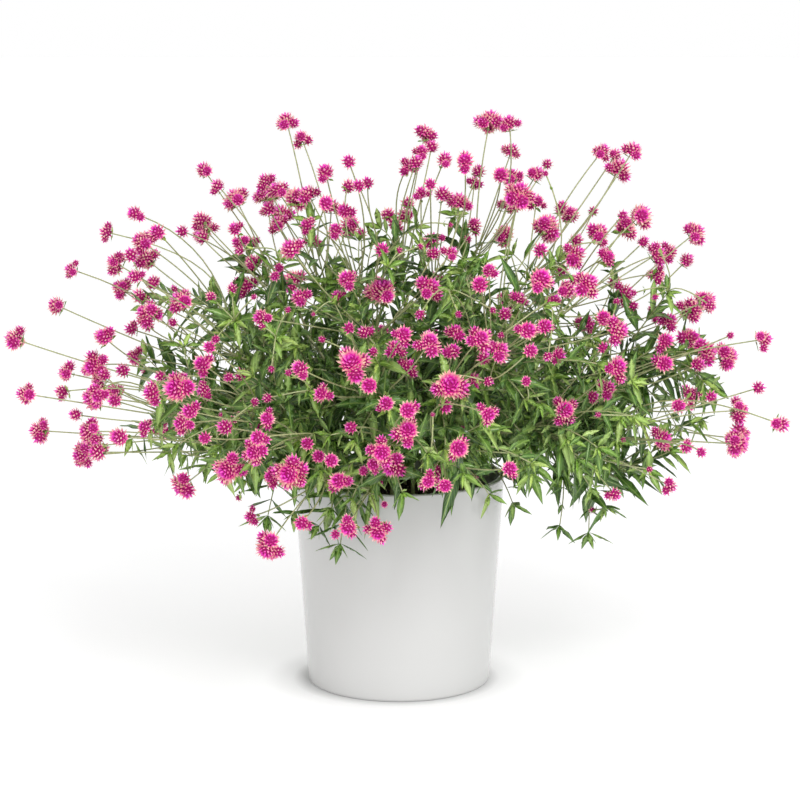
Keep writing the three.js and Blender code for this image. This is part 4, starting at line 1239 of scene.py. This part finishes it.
def spray_pieces(spray, stem, i, foliage, petals):
    """A spray's stalks with their small leaves, and its blooms."""
    shape = Shape("along", "across", "young", "shade", "stem")
    heads = Shape("along", "shade", "pale", "bloom")
    leaves = []
    start, foot, top = spray["start"], spray["foot"], spray["top"]
    line = [start, foot, lerp(foot, top, 0.5), top]
    add_tube(shape, line, np.linspace(AXIS_RADIUS, AXIS_RADIUS * 0.8, 4), 6, stem=1, shade=0.4)
    for n, bloom in enumerate(spray["blooms"]):
        keys = (stem["key"], i, n)
        stalk = [bloom["root"], *bloom["curve"].line(9), bloom["at"]]
        radii = np.linspace(STALK_RADIUS, STALK_RADIUS * 0.85, len(stalk))
        add_tube(shape, stalk, radii, 5, stem=1, young=0.5 * chance(*keys, 97), shade=chance(*keys, 98))
        leaves += leaves_under(bloom, *keys)
        add_bloom(heads, bloom, *keys)
    add_rosette(leaves, lerp(foot, top, 0.2), spray["axis"], 24, 0.5, stem["key"], i, 75)
    add_leaves(shape, leaves)
    stalks = shape.piece(spray["node"] + "_stalks", foliage)
    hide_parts(spray["node"])
    blooms = heads.piece(spray["node"] + "_blooms", petals, smooth=False)
    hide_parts(spray["node"])


def buds_piece(stem, petals):
    """The small buds on a stem's leafy shoots."""
    if not stem["buds"]:
        return
    heads = Shape("along", "shade", "pale", "bloom")
    for n, bud in enumerate(stem["buds"]):
        count = bract_count(bud["radius"], LEAST_BUD_BRACTS)
        add_head(heads, bud["at"], bud["along"], bud["radius"] * BUD_REACH, count, stem["key"], n, 113)
    made = heads.piece(stem["node"] + "_buds", petals, smooth=False)


# Pot and potting mix
def arc(centre, radius, start, end, count):
    """Points of a rounding in a profile, from one angle to another."""
    turns = np.linspace(start, end, count)
    return [(centre[0] + radius * math.cos(t), centre[1] + radius * math.sin(t)) for t in turns]


def add_lathe(shape, profile, sides):
    """A closed body turned from a profile of (radius, height) that starts and ends on the axis."""
    turns = np.arange(sides) * (2 * math.pi / sides)
    inner = np.array(profile[1:-1])
    ring = np.stack([np.cos(turns), np.sin(turns)], axis=1)
    points = np.zeros((len(inner), sides, 3))
    points[:, :, :2] = inner[:, :1, None] * ring[None]
    points[:, :, 2] = inner[:, 1:]
    ends = [(0, 0, profile[0][1]), (0, 0, profile[-1][1])]
    shape.add(np.concatenate([points.reshape(-1, 3), ends]), tube_faces(len(inner), sides))


POT_SIDES = 128
FLOOR_ROUNDING = 6
MIX_SIDES = 96
MIX_RINGS = 26
CRUMBS = 900


def pot_piece(material):
    """The tapered pot with its rounded foot edge and lip."""
    slope = (RIM_RADIUS - FOOT_RADIUS) / POT_HEIGHT
    foot, lip = FOOT_ROUNDING, LIP_ROUNDING
    outer = [(pot_radius(z), z) for z in np.linspace(foot, POT_HEIGHT - lip, 9)]
    heights = np.linspace(POT_HEIGHT - lip, POT_FLOOR + FLOOR_ROUNDING, 9)
    inner = [(pot_radius(z) - POT_WALL, z) for z in heights]
    floor_edge = pot_radius(POT_FLOOR) - POT_WALL
    profile = [
        (0, 0),
        (FOOT_RADIUS * 0.6, 0),
        *arc((pot_radius(foot) - foot, foot), foot, -math.pi / 2, -0.05, 7),
        *outer,
        *arc((pot_radius(POT_HEIGHT - lip) - lip, POT_HEIGHT - lip), lip, slope, math.pi / 2, 6),
        *arc((pot_radius(POT_HEIGHT) - POT_WALL + lip, POT_HEIGHT - lip), lip, math.pi / 2, math.pi, 6),
        *inner[1:],
        (floor_edge - FLOOR_ROUNDING, POT_FLOOR),
        (0, POT_FLOOR),
    ]
    shape = Shape()
    add_lathe(shape, profile, POT_SIDES)
    made = shape.piece("pot_glazed", material)
    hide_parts("pot")


def mix_radius(z):
    """How far out the mix reaches at a height, just inside the pot's wall."""
    return pot_radius(z) - POT_WALL - 1


def mix_piece(material):
    """Crumbly mix: a low mound with lumps of bark and fibre pressed into its top."""
    shape = Shape("shade")
    bottom = POT_FLOOR + SEAT_GAP
    widest = mix_radius(MIX_EDGE)
    mound = MIX_TOP - MIX_EDGE
    top = [(widest * (1 - k / MIX_RINGS), MIX_EDGE + mound * k / MIX_RINGS) for k in range(MIX_RINGS)]
    add_lathe(shape, [(0, bottom), (mix_radius(bottom), bottom), *top, (0, MIX_TOP)], MIX_SIDES)
    points = shape.points[0]
    for n, p in enumerate(points):
        if p[2] > MIX_EDGE - 1:
            p[2] += between(-1.6, 1.6, n, 101)
    ball, faces = globe(2, 5)
    for n in range(CRUMBS):
        out = widest * 0.96 * math.sqrt(chance(n, 102))
        turn = 2 * math.pi * chance(n, 103)
        height = MIX_EDGE + mound * (1 - out / widest) + between(-0.5, 1, n, 104)
        place = vec(out * math.cos(turn), out * math.sin(turn), height)
        a, b = sideways(unit(jolt(n, 105)))
        c = cross(a, b)
        size = between(1.2, 4, n, 106)
        turned = np.stack([a, b * between(0.4, 0.9, n, 107), c * between(0.4, 0.9, n, 108)]) * size
        shape.add(place + ball @ turned, faces, shade=chance(n, 109))
    made = shape.piece("potting_mix_crumbs", material, smooth=False)
    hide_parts("potting_mix")


# Colours, as linear red, green and blue
WHITE = (1, 1, 1)
BLACK = (0, 0, 0)
LEAF_COLOURS = [(0, (0.02, 0.075, 0.012)), (0.5, (0.085, 0.22, 0.03)), (1, (0.46, 0.63, 0.2))]
YOUNG_LEAF_COLOURS = [(0, (0.27, 0.56, 0.03)), (1, (0.68, 0.88, 0.17))]
LEAF_PATCH = (0.12, 0.22, 0.05)
LEAF_VEIN = (0.4, 0.6, 0.2)
LEAF_RIB = (0.56, 0.76, 0.2)
# The paler colour along the leaves' margins is a painted sheen
LEAF_MARGIN_SHEEN = (0.6, 0.76, 0.4)
WOOD_COLOURS = [(0.3, (0.2, 0.22, 0.09)), (0.55, (0.4, 0.43, 0.21)), (0.8, (0.42, 0.3, 0.2))]
YOUNG_WOOD = (0.46, 0.54, 0.22)
# The deep magenta at the bracts' roots and core is partly their colour and partly painted shade between the
# bracts
BRACT_ROOT_AND_SHADE_COLOURS = [(0, (0.34, 0.002, 0.12)), (0.4, (0.58, 0.004, 0.31)), (1, (0.5, 0.004, 0.36))]
PINKS = [(0, (0.95, 0.008, 0.43)), (1, (1.0, 0.1, 0.57))]
VIOLETS = [(0, (0.74, 0.004, 0.56)), (1, (0.9, 0.03, 0.78))]
TIP_COLOURS = [(0, (1.0, 0.5, 0.44)), (1, (1.0, 0.85, 0.58))]
BRACT_FIBRE = (0.45, 0.01, 0.25)
GLAZE_COLOURS = [(0.3, (0.57, 0.57, 0.563)), (0.7, (0.59, 0.59, 0.583))]
MIX_COLOURS = [(0.35, (0.012, 0.008, 0.005)), (0.65, (0.06, 0.038, 0.022))]
BARK_COLOURS = [(0, (0.03, 0.018, 0.01)), (0.8, (0.11, 0.06, 0.03)), (1, (0.3, 0.24, 0.17))]

# The floor's glow, lowered round the pot's foot as a painted contact shadow: its glow at the pot's foot, at
# the edge of its near shadow and far off, with distances in metres
FOOT_GLOW_IN_PAINTED_SHADOW = 0.12
NEAR_GLOW_IN_PAINTED_SHADOW = 0.38
FAR_GLOW = 0.56
NEAR_SHADOW = 0.016
FAR_SHADOW = (0.012, 0.05)
SHADOW_SHIFT = 0.003

# The world's brightness by how far to the side a way points, behind the pot
PANELS = [(0.2, 1), (0.32, 0.1), (0.82, 0.1), (0.92, 1)]

# Lamp and camera, in metres and watts
KEY_PLACE = (0.8, -2.4, 2.4)
KEY_AIM = (0, 0, 0.3)
KEY_SIZE = 0.9
KEY_POWER = 47
CAMERA_ACROSS = 0.0012
LOOKS_DOWN = 10.25
LENS = 121.7
SENSOR_WIDTH = 36
FLOOR_REACH = 14


# Materials
class Nodes:
    """The node tree of a material or world, written out link by link."""

    def __init__(self, owner):
        owner.use_nodes = True
        self.owner = owner
        self.tree = owner.node_tree

    def add(self, kind, inputs=None, **settings):
        node = self.tree.nodes.new("ShaderNode" + kind)
        for key, value in settings.items():
            setattr(node, key, value)
        for key, value in (inputs or {}).items():
            self.set(node.inputs[key], value)
        return node

    def set(self, socket, value):
        if isinstance(value, bpy.types.NodeSocket):
            self.tree.links.new(value, socket)
        elif isinstance(value, bpy.types.Node):
            self.tree.links.new(value.outputs[0], socket)
        else:
            socket.default_value = value

    def look(self, **inputs):
        """Sets or links sockets of the surface by their names."""
        for key, value in inputs.items():
            self.set(self.tree.nodes["Principled BSDF"].inputs[key.replace("_", " ")], value)

    def value(self, name):
        return self.add("Attribute", attribute_name=name).outputs["Fac"]

    def math(self, operation, a, b=0.0, c=0.0):
        return self.add("Math", {0: a, 1: b, 2: c}, operation=operation).outputs[0]

    def ramp(self, value, *stops):
        """Colours by position, each stop a position and a colour."""
        node = self.add("ValToRGB", {0: value})
        places = node.color_ramp.elements
        for i, (position, colour) in enumerate(stops):
            place = places[i] if i < 2 else places.new(position)
            place.position = position
            place.color = (*colour, 1)
        return node.outputs["Color"]

    def mix(self, share, a, b, blend="MIX"):
        node = self.add("Mix", data_type="RGBA", blend_type=blend)
        self.set(node.inputs[0], share)
        for socket, colour in ((node.inputs[6], a), (node.inputs[7], b)):
            self.set(socket, (*colour, 1) if isinstance(colour, tuple) else colour)
        return node.outputs[2]

    def noise(self, scale, detail=3.0, stretch=(1, 1, 1)):
        place = self.add("TexCoord").outputs["Object"]
        mapped = self.add("Mapping", {"Vector": place, "Scale": stretch})
        return self.add("TexNoise", {"Vector": mapped, "Scale": scale, "Detail": detail}).outputs["Fac"]

    def bump(self, height, strength, distance):
        node = self.add("Bump", {"Height": height, "Strength": strength, "Distance": distance})
        self.look(Normal=node.outputs["Normal"])


def foliage_material():
    """Leaves with a paler midrib and side veins, a paler margin that is painted sheen, yellow-green when
    young, and olive stems.
    """
    n = Nodes(bpy.data.materials.new("foliage"))
    along, across, young = n.value("along"), n.value("across"), n.value("young")
    grown = n.ramp(n.value("shade"), *LEAF_COLOURS)
    fresh = n.ramp(n.value("shade"), *YOUNG_LEAF_COLOURS)
    green = n.mix(young, grown, fresh)
    patches = n.noise(90.0)
    green = n.mix(n.math("MULTIPLY", patches, 0.3), green, LEAF_PATCH)
    vein_way = n.math("ADD", n.math("MULTIPLY", along, 60.0), n.math("MULTIPLY", across, -14.0))
    veins = n.math("MULTIPLY", n.math("GREATER_THAN", n.math("SINE", vein_way), 0.82), 0.22)
    green = n.mix(veins, green, LEAF_VEIN)
    rib = n.ramp(across, (0.0, WHITE), (0.16, BLACK))
    green = n.mix(n.math("MULTIPLY", rib, 0.5), green, LEAF_RIB)
    # A paler margin along each leaf's edge: painted sheen
    margin_sheen = n.ramp(across, (0.72, BLACK), (1.0, WHITE))
    green = n.mix(n.math("MULTIPLY", margin_sheen, 0.12), green, LEAF_MARGIN_SHEEN)
    wood = n.ramp(n.noise(220.0, 2.0), *WOOD_COLOURS)
    wood = n.mix(n.math("MULTIPLY", young, 0.6), wood, YOUNG_WOOD)
    n.look(Base_Color=n.mix(n.value("stem"), green, wood), Roughness=0.36, Specular_IOR_Level=0.7)
    n.bump(n.math("ADD", veins, n.math("MULTIPLY", patches, 0.6)), 0.25, 0.0008)
    return n.owner


def bloom_material():
    """Papery bracts: deep magenta at the root, partly their colour and partly painted shade between them,
    pink or violet along the blade, and a pale peach tip.
    """
    n = Nodes(bpy.data.materials.new("bloom"))
    along, shade, pale = n.value("along"), n.value("shade"), n.value("pale")
    # Deep magenta at the bracts' roots and on the core: partly their colour, partly painted shade between
    # the bracts
    deep = n.ramp(n.value("bloom"), *BRACT_ROOT_AND_SHADE_COLOURS)
    pink = n.mix(n.math("MULTIPLY", pale, 1.4), n.ramp(shade, *VIOLETS), n.ramp(shade, *PINKS))
    blade_colour = n.mix(n.ramp(along, (0.2, BLACK), (0.5, WHITE)), deep, pink)
    tip = n.math("MULTIPLY", n.ramp(along, (0.5, BLACK), (0.72, WHITE)), pale)
    fibres = n.noise(900.0, 2.0)
    colour = n.mix(tip, blade_colour, n.ramp(shade, *TIP_COLOURS))
    colour = n.mix(n.math("MULTIPLY", fibres, 0.18), colour, BRACT_FIBRE)
    n.look(Base_Color=colour, Roughness=0.6, Specular_IOR_Level=0.3)
    n.bump(fibres, 0.3, 0.0004)
    return n.owner


def glaze_material():
    """Smooth white gloss glaze, with a very slight unevenness."""
    n = Nodes(bpy.data.materials.new("glaze"))
    n.look(Base_Color=n.ramp(n.noise(6.0, 2.0), *GLAZE_COLOURS), Roughness=0.2)
    n.look(Coat_Weight=0.6, Coat_Roughness=0.05)
    n.bump(n.noise(14.0, 1.0), 0.05, 0.002)
    return n.owner


def mix_material():
    """Damp dark mix with lighter bits of bark."""
    n = Nodes(bpy.data.materials.new("mix"))
    grain = n.noise(260.0, 5.0)
    shade = n.value("shade")
    is_crumb = n.math("GREATER_THAN", shade, 0.01)
    colour = n.mix(is_crumb, n.ramp(grain, *MIX_COLOURS), n.ramp(shade, *BARK_COLOURS))
    n.look(Base_Color=colour, Roughness=0.92)
    n.bump(grain, 0.8, 0.002)
    return n.owner


def grey(level):
    return (level, level, level)


def floor_material():
    """A pale floor that glows evenly, and glows less close round the pot's foot, a painted shadow where the
    pot shades it.
    """
    n = Nodes(bpy.data.materials.new("floor"))
    n.look(Base_Color=n.ramp(n.noise(2.0), (0, grey(0.59)), (1, grey(0.61))), Roughness=0.7)
    foot = FOOT_RADIUS / 1000
    place = n.add("TexCoord").outputs["Object"]
    shifted = n.add("VectorMath", {0: place, 1: (SHADOW_SHIFT, 0, 0)}, operation="ADD")
    away = n.add("VectorMath", {0: shifted}, operation="LENGTH").outputs["Value"]
    # Painted contact shadow: the floor's glow drops towards the pot's foot
    near = n.ramp(away, (foot, grey(FOOT_GLOW_IN_PAINTED_SHADOW)), (foot + NEAR_SHADOW, grey(NEAR_GLOW_IN_PAINTED_SHADOW)))
    far = n.ramp(away, (foot + FAR_SHADOW[0], BLACK), (foot + FAR_SHADOW[1], WHITE))
    glow_with_painted_shadow = n.mix(far, near, grey(FAR_GLOW))
    n.look(Specular_IOR_Level=0.1, Emission_Color=(1, 1, 1, 1), Emission_Strength=glow_with_painted_shadow)
    return n.owner


def light_world():
    """White all round, but for two dim panels behind, left and right, that give the glaze its edges."""
    n = Nodes(bpy.data.worlds.new("white"))
    parts = n.add("SeparateXYZ", {0: n.add("TexCoord").outputs["Generated"]})
    aside = n.math("ABSOLUTE", parts.outputs["X"])
    panels = n.ramp(aside, *((share, grey(level)) for share, level in PANELS))
    behind = n.math("GREATER_THAN", parts.outputs["Y"], 0.0)
    n.set(n.tree.nodes["Background"].inputs["Color"], n.mix(behind, WHITE, panels))
    return n.owner


# Stage
def add_floor():
    far = FLOOR_REACH
    mesh = bpy.data.meshes.new("floor")
    mesh.from_pydata([(-far, -far, 0), (far, -far, 0), (far, far, 0), (-far, far, 0)], [], [(0, 1, 2, 3)])
    mesh.materials.append(floor_material())
    floor = bpy.data.objects.new("floor", mesh)
    bpy.context.scene.collection.objects.link(floor)


def add_key_light():
    """One soft disk lamp from the front right."""
    lamp = bpy.data.lights.new("key", "AREA")
    lamp.shape = "DISK"
    lamp.size = KEY_SIZE
    lamp.energy = KEY_POWER
    made = bpy.data.objects.new("key", lamp)
    made.location = KEY_PLACE
    way = unit(vec(*KEY_PLACE) - vec(*KEY_AIM))
    made.rotation_euler = (math.acos(way[2]), 0, math.atan2(way[1], way[0]) + math.pi / 2)
    bpy.context.scene.collection.objects.link(made)


def add_stage():
    scene = bpy.context.scene
    scene.world = light_world()
    scene.view_settings.view_transform = "Standard"
    add_floor()
    add_key_light()


def add_camera():
    scene = bpy.context.scene
    camera = bpy.data.cameras.new("camera")
    camera.lens = LENS
    camera.sensor_width = SENSOR_WIDTH
    camera.clip_end = 60
    made = bpy.data.objects.new("camera", camera)
    made.location = (CAMERA_ACROSS, -EYE_DISTANCE / 1000, EYE_HEIGHT / 1000)
    made.rotation_euler = (math.radians(90 - LOOKS_DOWN), 0, 0)
    scene.collection.objects.link(made)
    scene.camera = made


def build():
    foliage = foliage_material()
    petals = bloom_material()
    plant = grow_plant()
    grow_sprigs(plant)
    grow_buds(plant)
    pot_piece(glaze_material())
    mix_piece(mix_material())
    for stem in plant:
        leafy_stem_piece(stem, foliage)
        buds_piece(stem, petals)
        for i, spray in enumerate(stem["sprays"]):
            spray_pieces(spray, stem, i, foliage, petals)
    add_stage()
    add_camera()


build()
